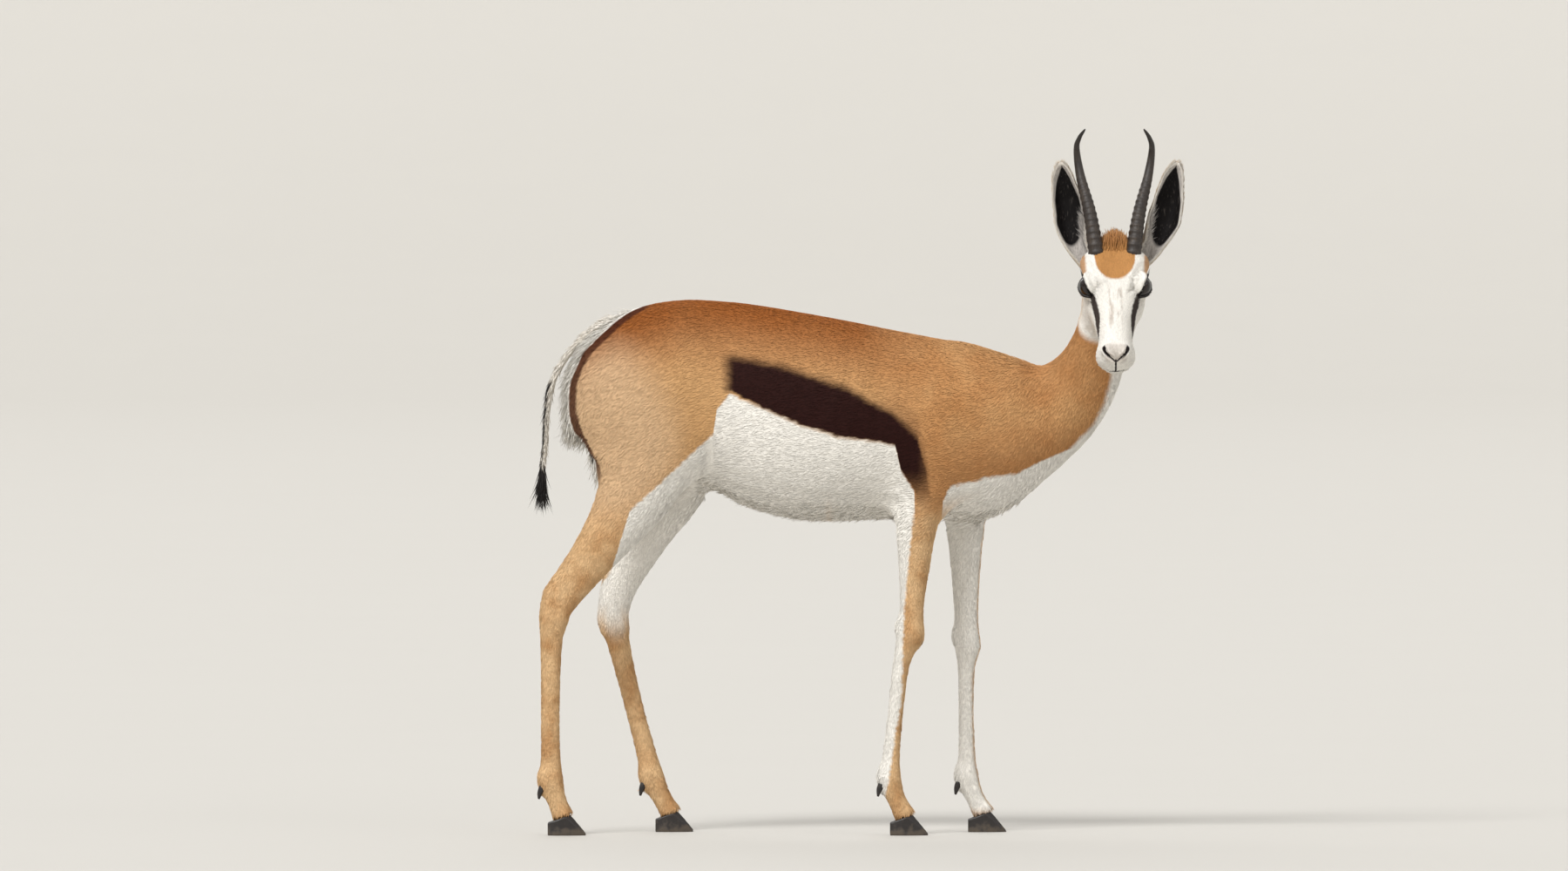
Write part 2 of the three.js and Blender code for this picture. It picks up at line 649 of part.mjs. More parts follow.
function makeHead(joined) {
  let body = joined.intersect(headWedge(-GAP / 2));
  for (const side of [-1, 1]) {
    const nostril = NOSTRIL.path.map(([forward, out, up]) => headPoint(forward, side * out, up));
    body = body.add(eyeBall(side, EYE.radius + EYE.lid))
      .subtract(eyeOpening(side))
      .subtract(eyeBall(side, EYE.radius + EYE.socket))
      .subtract(alongPath(nostril, diamond(NOSTRIL.wide, NOSTRIL.high), 5));
  }
  const lips = [];
  for (let i = 0; i <= LIPS.bends; i += 1) {
    const turn = (i / LIPS.bends - 0.5) * Math.PI;
    lips.push(headPoint(
      LIPS.back + LIPS.reach * Math.cos(turn),
      LIPS.half * Math.sin(turn),
      LIPS.up - LIPS.dip * Math.cos(turn),
    ));
  }
  return body.subtract(alongPath(lips, diamond(LIPS.wide, LIPS.high), 12));
}

function footLimit(stations) {
  return (stations.length - FOOT_STATIONS) / (stations.length - 1);
}

function foreLegBody(stations) {
  const spine = curveOf(stations);
  const own = legFields.get(stations);
  const top = foreTop + FORE_STUB.high;
  return solid(wrap({
    spine,
    from: crossing(spine, (x, y, z) => -z, -top + FORE_STUB.start),
    to: footLimit(stations),
    face: { normal: new THREE.Vector3(0, 0, -1), blend: 0.15 },
    around: 14,
    along: 32,
    cap: 2,
    field: (x, y, z) => Math.max(flesh(x, y, z), own(x, y, z) - FLARE.fore, z - top, SOLE_TRIM - z),
  }));
}

function hindLegBody(stations, outward) {
  const spine = curveOf(stations);
  const own = legFields.get(stations);
  return solid(wrap({
    spine,
    from: crossing(spine, hindSide, -CUT_MARGIN / 2),
    to: footLimit(stations),
    face: { normal: new THREE.Vector3(...CUTS.hind.normal), blend: 0.3 },
    around: 16,
    along: 32,
    cap: 2,
    field: (x, y, z) => {
      const limit = Math.max(-hindSide(x, y, z), -y * outward) - CUT_MARGIN;
      return Math.max(flesh(x, y, z), own(x, y, z) - FLARE.hind, limit, SOLE_TRIM - z);
    },
  }));
}

const foreBodies = [foreLegBody(FORE_RIGHT), foreLegBody(FORE_LEFT)];

function withDewclaws(body, stations) {
  const fetlock = stations[stations.length - 4];
  let leg = body;
  for (const side of [-1, 1]) {
    const cone = new THREE.ConeGeometry(DEWCLAW.radius, DEWCLAW.long, 7, 1);
    cone.rotateX(Math.PI);
    cone.rotateY(DEWCLAW.splay);
    cone.rotateZ(DEWCLAW.rake);
    cone.translate(
      fetlock.x - fetlock.deep,
      fetlock.y + side * DEWCLAW.side,
      fetlock.z - DEWCLAW.drop,
    );
    leg = leg.add(solid(cone));
  }
  return leg;
}

function makeLeg(body, stations, cut) {
  const sole = footPlane(stations);
  const outward = Math.sign(stations[0].y);
  let leg = body.intersect(halfSpace(cut.point, cut.normal, REACH, GAP / 2));
  if (cut === CUTS.hind) leg = leg.intersect(halfSpace([0, 0, 0], [0, outward, 0], REACH, GAP / 2));
  leg = leg.intersect(halfSpace(sole.point, sole.normal, REACH, GAP / 2));
  return withDewclaws(leg, stations);
}

function footPlane(stations) {
  const foot = stations[stations.length - 2];
  return {
    point: [foot.x, foot.y, CORONET.height],
    normal: [-CORONET.rise, 0, 1],
  };
}

function makeClaw(stations, side) {
  const foot = stations[stations.length - 2];
  const sole = footPlane(stations);
  const geometry = new THREE.CylinderGeometry(1, 1, 1, CLAW.sides, CLAW.rows);
  const place = geometry.attributes.position;
  for (let i = 0; i < place.count; i += 1) {
    const t = place.getY(i) + 0.5;
    const across = place.getX(i);
    const up = place.getZ(i);
    const shape = Math.sin(Math.PI * (CLAW.round.from + CLAW.round.span * t)) ** CLAW.round.power;
    const wide = (CLAW.wide / 2) * shape * (1 - CLAW.narrow * t);
    const run = Math.max(t - CLAW.rear, 0) / (1 - CLAW.rear);
    const high = run > 0 ? CLAW.high * (1 - run ** CLAW.fall) + CLAW.toe : CLAW.high;
    const bulge = across * side > 0 ? 1 : CLAW.inside;
    place.setXYZ(
      i,
      foot.x - CLAW.heel + t * CLAW.length,
      foot.y + side * (CLAW.split / 2 + CLAW.apart * CLAW.wide - CLAW.close * t) + across * wide * bulge,
      Math.max(up, 0) * high,
    );
  }
  return solid(geometry).subtract(halfSpace(sole.point, sole.normal, REACH, -GAP / 2))
    .subtract(halfSpace([foot.x, foot.y, 0], [0, -side, 0], REACH, -CLAW.split / 2));
}

// Ears, horns and tail

function pathFrom(root, side, offsets, lean = 0) {
  const points = offsets.map(([out, back, up]) => {
    const more = side > 0 ? 1 + lean : 1;
    return root.clone().add(new THREE.Vector3(side * out * more, back, up));
  });
  return new THREE.CatmullRomCurve3(points);
}

function makeEar(side) {
  const geometry = new THREE.CylinderGeometry(1, 1, 1, 14, 13);
  const place = geometry.attributes.position;
  const root = headPoint(EAR.forward, side * EAR.side, EAR.up);
  const path = pathFrom(root, side, EAR_PATH, EAR.lean);
  const leaf = track(EAR_LEAF, 'half');
  const outward = new THREE.Vector3(side * EAR.turn, -1, 0).normalize();
  for (let i = 0; i < place.count; i += 1) {
    const t = place.getY(i) + 0.5;
    const ring = Math.atan2(place.getX(i), place.getZ(i)) / Math.PI;
    const axis = Math.hypot(place.getX(i), place.getZ(i)) < 0.5;
    const centre = path.getPoint(t);
    const upward = path.getTangent(t);
    const open = outward.clone().addScaledVector(upward, -outward.dot(upward)).normalize();
    const across = new THREE.Vector3().crossVectors(upward, open);
    const radius = leaf(t);
    const spread = THREE.MathUtils.degToRad(EAR.furl - EAR.open * Math.min(t * EAR.quick, 1));
    const outer = Math.abs(ring) <= 0.5;
    const turn = outer ? ring * 2 * spread : Math.sign(ring) * (1 - Math.abs(ring)) * 2 * spread;
    const wall = Math.min(EAR.wall, radius * 0.5);
    const inner = outer ? radius : radius - wall;
    const r = axis ? radius - wall / 2 : inner;
    const a = axis ? 0 : turn;
    const p = centre
      .addScaledVector(across, Math.sin(a) * r)
      .addScaledVector(open, -Math.cos(a) * r);
    place.setXYZ(i, p.x, p.y, p.z);
  }
  return solid(geometry);
}

function makeHorn(side) {
  const ringRows = 2 * HORN.rings;
  const rows = ringRows + HORN_TIP_ROWS;
  const geometry = new THREE.CylinderGeometry(1, 1, 1, HORN_SHAPE.sides, rows);
  const place = geometry.attributes.position;
  const root = headPoint(HORN.forward, side * HORN.side, HORN.up);
  const path = pathFrom(root, side, HORN_PATH);
  for (let i = 0; i < place.count; i += 1) {
    const row = Math.round((place.getY(i) + 0.5) * rows);
    const ringed = row <= ringRows;
    const low = (HORN.ringed * row) / ringRows;
    const high = HORN.ringed + ((1 - HORN.ringed) * (row - ringRows)) / HORN_TIP_ROWS;
    const t = ringed ? low : high;
    const along = path.getTangentAt(t);
    const centre = path.getPointAt(t);
    const across = new THREE.Vector3(1, 0, 0).addScaledVector(along, -along.x).normalize();
    const fore = new THREE.Vector3().crossVectors(along, across);
    const taper = HORN.radius * (1 - t) ** HORN_SHAPE.taper + HORN.tip;
    const ridge = row % 2 === 1 ? HORN.ridge : -HORN.ridge;
    const r = taper * (ringed ? 1 + ridge : 1);
    const p = centre
      .addScaledVector(across, place.getX(i) * r * HORN_SHAPE.flat)
      .addScaledVector(fore, place.getZ(i) * r);
    place.setXYZ(i, p.x, p.y, p.z);
  }
  return solid(geometry);
}

function makeLock(root, way, long, wide, thick, bend) {
  const geometry = new THREE.ConeGeometry(1, 1, LOCK.sides, LOCK.rows);
  const place = geometry.attributes.position;
  const along = way.clone().normalize();
  const across = new THREE.Vector3(0, 1, 0).cross(along).normalize();
  const flat = new THREE.Vector3().crossVectors(along, across);
  for (let i = 0; i < place.count; i += 1) {
    const t = place.getY(i) + 0.5;
    const swell = t < 0.99 ? 1 : 0;
    const r = Math.hypot(place.getX(i), place.getZ(i)) > 1e-6 ? swell : 0;
    const turn = Math.atan2(place.getZ(i), place.getX(i));
    const taper = (1 - t) ** LOCK.taper;
    const p = root.clone()
      .addScaledVector(along, t * long)
      .addScaledVector(across, Math.cos(turn) * r * taper * (wide / 2) + bend.x * t * t)
      .addScaledVector(flat, Math.sin(turn) * r * taper * (thick / 2) + bend.y * t * t);
    place.setXYZ(i, p.x, p.y, p.z);
  }
  return solid(geometry);
}

function makeTail() {
  const geometry = wrap({
    spine: curveOf(TAIL), around: 8, along: 15, cap: 2, field: chainField(TAIL, 24),
  });
  let tail = solid(geometry);
  const end = TAIL[TAIL.length - 1];
  const random = seeded(TUFT.seed);
  for (let i = 0; i < TUFT.locks; i += 1) {
    const turn = (i / TUFT.locks) * Math.PI * 2;
    const down = i % 3;
    const root = new THREE.Vector3(end.x, end.y, end.z + TUFT.drop * (down + 0.5));
    const way = new THREE.Vector3(
      TUFT.splay[0] * Math.cos(turn) + TUFT.lean, TUFT.splay[1] * Math.sin(turn), -1,
    );
    const bend = new THREE.Vector2(TUFT.bend[0] + TUFT.bend[1] * random(), TUFT.sway * (random() - 0.5));
    const long = TUFT.long * (TUFT.shortest + TUFT.spread * random());
    tail = tail.add(makeLock(root, way, long, TUFT.wide, TUFT.thick, bend));
  }
  return tail;
}

// Assembly

const grownHead = headWrap(GAP);
const headAndNeck = neckWrap().add(headWrap(0));
addNode('torso', makeTrunk(), finish.coat);
addNode('neck', makeNeck(headAndNeck), finish.coat);
addNode('head', makeHead(headAndNeck), finish.face);

const legs = [
  ['fore_right', FORE_RIGHT, CUTS.fore, foreBodies[0]],
  ['fore_left', FORE_LEFT, CUTS.fore, foreBodies[1]],
  ['hind_right', HIND_RIGHT, CUTS.hind, hindLegBody(HIND_RIGHT, -1)],
  ['hind_left', HIND_LEFT, CUTS.hind, hindLegBody(HIND_LEFT, 1)],
];
for (const [name, stations, cut, body] of legs) {
  const outward = Math.sign(stations[0].y);
  addNode(`leg_${name}`, makeLeg(body, stations, cut), finish.leg);
  addNode(`claw_${name}_outer`, makeClaw(stations, outward), finish.hoof);
  addNode(`claw_${name}_inner`, makeClaw(stations, -outward), finish.hoof);
}

for (const [name, side] of [['right', -1], ['left', 1]]) {
  addNode(`eye_${name}`, eyeBall(side, EYE.radius), finish.eye);
  addNode(`ear_${name}`, makeEar(side).subtract(grownHead), finish.ear);
  addNode(`horn_${name}`, makeHorn(side).subtract(grownHead), finish.horn);
}

const grownTrunk = solid(wrap({
  spine: new THREE.CatmullRomCurve3(TAIL_BED.spine.map(([x, z]) => new THREE.Vector3(x, 0, z))),
  around: 36,
  along: 10,
  cap: 6,
  level: GAP * TAIL_BED.gaps,
  field: (x, y, z) => Math.max(flesh(x, y, z), TAIL_BED.bottom - z, x - TAIL_BED.front),
}));
addNode('tail', makeTail().subtract(grownTrunk), finish.coat);

const bounds = new THREE.Box3().setFromObject(springbok);
springbok.position.set(-(bounds.min.x + bounds.max.x) / 2, -(bounds.min.y + bounds.max.y) / 2, -bounds.min.z);
springbok.updateMatrixWorld(true);

export default springbok;
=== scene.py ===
"""A springbok ewe as a still, life-size museum model: skin, coat, eyes, horns, ears, hooves and tail.

Lengths are in metres. Patterns and forms are laid out in the model's own place: x along the
body towards the chest, y to the animal's left, z up from the floor, as the solids are.
"""

import logging
import math
from dataclasses import dataclass
from enum import Enum
from typing import Callable, Sequence

import bmesh
import bpy
import numpy as np
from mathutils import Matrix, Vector

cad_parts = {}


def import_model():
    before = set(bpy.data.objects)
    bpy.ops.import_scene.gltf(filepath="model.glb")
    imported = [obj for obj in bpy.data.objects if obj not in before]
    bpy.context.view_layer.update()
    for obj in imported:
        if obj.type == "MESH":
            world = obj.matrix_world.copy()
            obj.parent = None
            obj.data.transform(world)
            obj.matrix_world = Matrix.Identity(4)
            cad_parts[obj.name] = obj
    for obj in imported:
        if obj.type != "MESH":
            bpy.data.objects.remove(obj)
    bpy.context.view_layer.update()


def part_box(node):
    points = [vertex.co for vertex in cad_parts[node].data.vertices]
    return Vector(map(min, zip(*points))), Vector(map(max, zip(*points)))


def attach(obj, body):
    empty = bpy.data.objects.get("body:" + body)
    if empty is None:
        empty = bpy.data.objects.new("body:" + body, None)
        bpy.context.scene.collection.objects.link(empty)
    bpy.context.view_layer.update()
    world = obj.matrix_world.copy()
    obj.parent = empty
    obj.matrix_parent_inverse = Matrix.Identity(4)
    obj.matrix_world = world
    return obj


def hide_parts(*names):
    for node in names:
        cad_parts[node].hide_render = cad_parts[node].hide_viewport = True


log = logging.getLogger("springbok")

Point = tuple[float, float]
Triple = tuple[float, float, float]
Array = np.ndarray

METRES_PER_PIXEL = 0.00137
PIXEL_OF_MIDDLE = 990.0
PIXEL_OF_FLOOR = 957.0


def across(pixel: float) -> float:
    """Returns the place along the body of a column of the photograph."""
    return (pixel - PIXEL_OF_MIDDLE) * METRES_PER_PIXEL


def height(pixel: float) -> float:
    """Returns the height above the floor of a row of the photograph."""
    return (PIXEL_OF_FLOOR - pixel) * METRES_PER_PIXEL


def traced(points: Sequence[Point], upright: bool = False) -> list[Point]:
    """Turns a line traced on the photograph into a line on the model.

    Args:
        points: columns and rows of the photograph.
        upright: whether the line gives a place along the body for each height.

    Returns:
        Pairs in rising order of the first value.
    """
    line = [(across(x), height(y)) for x, y in points]
    if upright:
        line = [(z, x) for x, z in line]
    return sorted(line)


def tint(red: int, green: int, blue: int) -> tuple[float, float, float, float]:
    """Returns a screen colour as the linear colour of a shader."""
    values = []
    for part in (red, green, blue):
        share = part / 255
        values.append(share / 12.92 if share <= 0.04045 else ((share + 0.055) / 1.055) ** 2.4)
    return (values[0], values[1], values[2], 1.0)


def ramp(values: Array, low: float, high: float) -> Array:
    """Returns 0 below low, 1 above high and a smooth rise between them."""
    share = np.clip((values - low) / (high - low), 0.0, 1.0)
    return share * share * (3 - 2 * share)


# Places shared by all pieces


@dataclass(frozen=True)
class Anatomy:
    """Where the head, eyes, horns, ears and tail stand in the model's own place."""

    shift: Vector
    head_origin: Triple = (0.395, -0.072, 0.929)
    pitch: float = math.radians(45)
    eye_forward: float = 0.080
    eye_side: float = 0.038
    eye_up: float = -0.015
    eye_radius: float = 0.0185
    eye_look: Triple = (0.36, 0.86, 0.30)

    @property
    def forward(self) -> Vector:
        """The direction from the poll to the nose."""
        return Vector((0, -math.cos(self.pitch), -math.sin(self.pitch)))

    @property
    def upward(self) -> Vector:
        """The direction out of the forehead."""
        return Vector((0, -math.sin(self.pitch), math.cos(self.pitch)))

    def head(self, forward: float, side: float, up: float) -> Vector:
        """Returns a point given in the head's directions, in the model's own place."""
        return Vector(self.head_origin) + self.forward * forward + Vector((side, 0, 0)) + self.upward * up

    def eye(self, side: int) -> Vector:
        """Returns the middle of the right (-1) or left (1) eye."""
        return self.head(self.eye_forward, side * self.eye_side, self.eye_up)

    def look(self, side: int) -> Vector:
        """Returns the direction in which an eye looks."""
        forward, out, up = self.eye_look
        way = self.forward * forward + Vector((side * out, 0, 0)) + self.upward * up
        return way.normalized()

    def eye_axes(self, side: int) -> tuple[Vector, Vector, Vector]:
        """Returns the long, upward and outward directions of an eye's opening."""
        look = self.look(side)
        long = (self.forward - look * self.forward.dot(look)).normalized()
        upward = long.cross(look) * side
        return long, upward, look

    def head_values(self, points: Array) -> tuple[Array, Array, Array]:
        """Returns how far forward, sideways and up from the poll each point of the model is."""
        away = points - np.array(self.head_origin)
        return away @ np.array(self.forward), away[:, 0], away @ np.array(self.upward)


def read_anatomy() -> Anatomy:
    """Finds the model's place in the frame from the boxes of its two eyes.

    Returns:
        The anatomy, with the shift from the model's own place to the frame.
    """
    corners = [corner for node in ("eye_right", "eye_left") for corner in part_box(node)]
    middle = sum(corners, Vector()) / len(corners)
    plain = Anatomy(Vector())
    return Anatomy(middle - plain.head(plain.eye_forward, 0, plain.eye_up))


# Materials


class Value:
    """A number of a material that changes over the surface, used in plain arithmetic."""

    def __init__(self, recipe: "Recipe", socket: bpy.types.NodeSocket) -> None:
        """Keeps the recipe that the number belongs to and the socket that gives it."""
        self.recipe = recipe
        self.socket = socket

    def _with(self, operation: str, first: "Value | float", second: "Value | float") -> "Value":
        """Returns the result of one Math node."""
        return self.recipe.math(operation, first, second)

    def __add__(self, other: "Value | float") -> "Value":
        """Adds."""
        return self._with("ADD", self, other)

    __radd__ = __add__

    def __sub__(self, other: "Value | float") -> "Value":
        """Subtracts."""
        return self._with("SUBTRACT", self, other)

    def __rsub__(self, other: float) -> "Value":
        """Subtracts from a number."""
        return self._with("SUBTRACT", other, self)

    def __mul__(self, other: "Value | float") -> "Value":
        """Multiplies."""
        return self._with("MULTIPLY", self, other)

    __rmul__ = __mul__

    def __truediv__(self, other: "Value | float") -> "Value":
        """Divides."""
        return self._with("DIVIDE", self, other)

    def __neg__(self) -> "Value":
        """Changes the sign."""
        return self._with("MULTIPLY", self, -1.0)

    def __abs__(self) -> "Value":
        """Drops the sign."""
        return self._with("ABSOLUTE", self, 0.0)

    def either(self, other: "Value | float") -> "Value":
        """Returns the larger of two."""
        return self._with("MAXIMUM", self, other)

    def rise(self, low: float, high: float) -> "Value":
        """Returns 0 below low, 1 above high and a smooth rise between, or the reverse."""
        flip = low > high
        start, end = (high, low) if flip else (low, high)
        made = self.recipe.node(
            "ShaderNodeMapRange", {"interpolation_type": "SMOOTHSTEP"},
            {0: self, 1: start, 2: end, 3: 1.0 if flip else 0.0, 4: 0.0 if flip else 1.0},
        )
        return Value(self.recipe, made.outputs[0])

    def along(self, points: Sequence[Point]) -> "Value":
        """Returns the height of a line of points above this number.

        Args:
            points: pairs in rising order of the first value.

        Returns:
            The line's second value, held level beyond its ends.
        """
        total: "Value | float" = points[0][1]
        for (x0, y0), (x1, y1) in zip(points, points[1:]):
            values = {0: self, 1: x0, 2: x1, 3: 0.0, 4: y1 - y0}
            part = self.recipe.node("ShaderNodeMapRange", {"clamp": True}, values)
            total = Value(self.recipe, part.outputs[0]) + total
        return total


class Recipe:
    """Builds one material from nodes."""

    def __init__(self, name: str) -> None:
        """Starts a material with one shader and its output."""
        self.material = bpy.data.materials.new(name)
        self.material.use_nodes = True
        self.tree = self.material.node_tree
        self.tree.nodes.clear()
        self.shader = self.node("ShaderNodeBsdfPrincipled")
        output = self.node("ShaderNodeOutputMaterial")
        self.tree.links.new(self.shader.outputs[0], output.inputs[0])
        self.coordinates = self.node("ShaderNodeTexCoord").outputs["Object"]

    def node(self, kind: str, settings: dict | None = None, inputs: dict | None = None) -> bpy.types.Node:
        """Adds a node.

        Args:
            kind: the node's type.
            settings: the node's own settings, set first.
            inputs: values or links by the input's name or number.

        Returns:
            The node.
        """
        made = self.tree.nodes.new(kind)
        for name, value in (settings or {}).items():
            setattr(made, name, value)
        for name, value in (inputs or {}).items():
            target = made.inputs[name]
            if isinstance(value, Value):
                value = value.socket
            if isinstance(value, bpy.types.NodeSocket):
                self.tree.links.new(value, target)
            else:
                target.default_value = value
        return made

    def math(self, operation: str, first: "Value | float", second: "Value | float") -> Value:
        """Returns the result of a Math node on one or two numbers."""
        made = self.node("ShaderNodeMath", {"operation": operation}, {0: first, 1: second})
        return Value(self, made.outputs[0])

    def moved(self, shift: Vector) -> bpy.types.NodeSocket:
        """Returns the place on the surface with a shift taken off."""
        values = {0: self.coordinates, 1: tuple(shift)}
        return self.node("ShaderNodeVectorMath", {"operation": "SUBTRACT"}, values).outputs[0]

    def parts(self, place: bpy.types.NodeSocket) -> tuple[Value, Value, Value]:
        """Returns the three numbers of a place."""
        made = self.node("ShaderNodeSeparateXYZ", None, {0: place})
        return tuple(Value(self, out) for out in made.outputs)

    def dot(self, place: bpy.types.NodeSocket, way: Vector) -> Value:
        """Returns how far a place lies along a direction."""
        made = self.node("ShaderNodeVectorMath", {"operation": "DOT_PRODUCT"}, {0: place, 1: tuple(way)})
        return Value(self, made.outputs["Value"])

    def distance(self, place: bpy.types.NodeSocket, point: Vector) -> Value:
        """Returns how far a place is from a point."""
        made = self.node("ShaderNodeVectorMath", {"operation": "DISTANCE"}, {0: place, 1: tuple(point)})
        return Value(self, made.outputs["Value"])

    def noise(self, scale: float, detail: float = 2.0, stretch: Triple = (1, 1, 1), place=None) -> Value:
        """Returns cloudy noise between 0 and 1.

        Args:
            scale: how many clouds to a metre.
            detail: how much fine noise is on it.
            stretch: a scale for each direction, less than 1 to draw it out.
            place: the place to read, the surface's own if none is given.

        Returns:
            The noise.
        """
        source = place or self.coordinates
        drawn = self.node("ShaderNodeVectorMath", {"operation": "MULTIPLY"}, {0: source, 1: stretch})
        values = {"Vector": drawn.outputs[0], "Scale": scale, "Detail": detail}
        made = self.node("ShaderNodeTexNoise", None, values)
        return Value(self, made.outputs[0])

    def mix(self, share: "Value | float", base, top) -> bpy.types.NodeSocket:
        """Returns one colour laid over another by a share between 0 and 1."""
        made = self.node("ShaderNodeMix", {"data_type": "RGBA"}, {0: share, 6: base, 7: top})
        return made.outputs[2]

    def scaled(self, colour, amount: Value) -> bpy.types.NodeSocket:
        """Returns a colour made lighter or darker by a number."""
        made = self.node("ShaderNodeVectorMath", {"operation": "SCALE"}, {0: colour, "Scale": amount})
        return made.outputs[0]

    def bump(self, level: Value, strength: float, deep: float) -> None:
        """Roughens the surface by a level, in metres of depth."""
        made = self.node("ShaderNodeBump", None, {"Strength": strength, "Distance": deep, "Height": level})
        self.tree.links.new(made.outputs[0], self.shader.inputs["Normal"])

    def finish(self, colour, roughness: "Value | float", **constants: float) -> bpy.types.Material:
        """Joins the colour and roughness to the shader.

        Args:
            colour: the base colour.
            roughness: a number, or one that changes over the surface.
            constants: other values of the shader, by the socket's name with underscores.

        Returns:
            The material.
        """
        inputs = self.shader.inputs
        if isinstance(colour, bpy.types.NodeSocket):
            self.tree.links.new(colour, inputs["Base Color"])
        else:
            inputs["Base Color"].default_value = colour
        if isinstance(roughness, Value):
            self.tree.links.new(roughness.socket, inputs["Roughness"])
        else:
            inputs["Roughness"].default_value = roughness
        for name, value in constants.items():
            inputs[name.replace("_", " ")].default_value = value
        return self.material


@dataclass(frozen=True)
class Colours:
    """The coat's colours."""

    # The back's red-brown, also laid over the lower shoulder as painted shade.
    ridge: tuple = tint(146, 83, 34)
    flank: tuple = tint(203, 158, 108)
    # Pale haunch tint: partly the coat's own lighter tone, partly a painted highlight on the rounded haunch.
    haunch: tuple = tint(214, 180, 142)
    shoulder: tuple = tint(186, 132, 82)
    stripe: tuple = tint(40, 13, 9)
    rump_line: tuple = tint(72, 32, 17)
    white: tuple = tint(240, 236, 228)
    leg: tuple = tint(220, 182, 136)
    leg_dark: tuple = tint(190, 144, 97)
    forehead: tuple = tint(186, 134, 80)
    topknot: tuple = tint(166, 116, 68)
    face_line: tuple = tint(40, 24, 20)
    nose_tint: tuple = tint(186, 172, 160)
    # Pale fawn of the rear jaw: partly its hair, partly painted shade.
    cheek: tuple = tint(196, 170, 140)
    black: tuple = tint(20, 15, 14)
    bare: tuple = tint(34, 28, 27)


EYE_OPENING = (0.0172, 0.0114)
MOUTH_LEVEL = ((0.158, 0.19, 0.216), (-0.058, -0.0615, -0.065))
RUMP_HALF_WIDTH = 0.052
RUMP_TURN = 0.75


def nostril_gap(up, side):
    """Returns how far a place of the muzzle is above or below the slanting slit of its nostril.

    Args:
        up: its height in the head's directions, as numbers or as a shader's value.
        side: its distance from the middle of the face.

    Returns:
        The distance, without a sign.
    """
    drop, end, slope = 0.0205, 0.024, 0.92
    return abs(up + drop + (end - side) * slope)


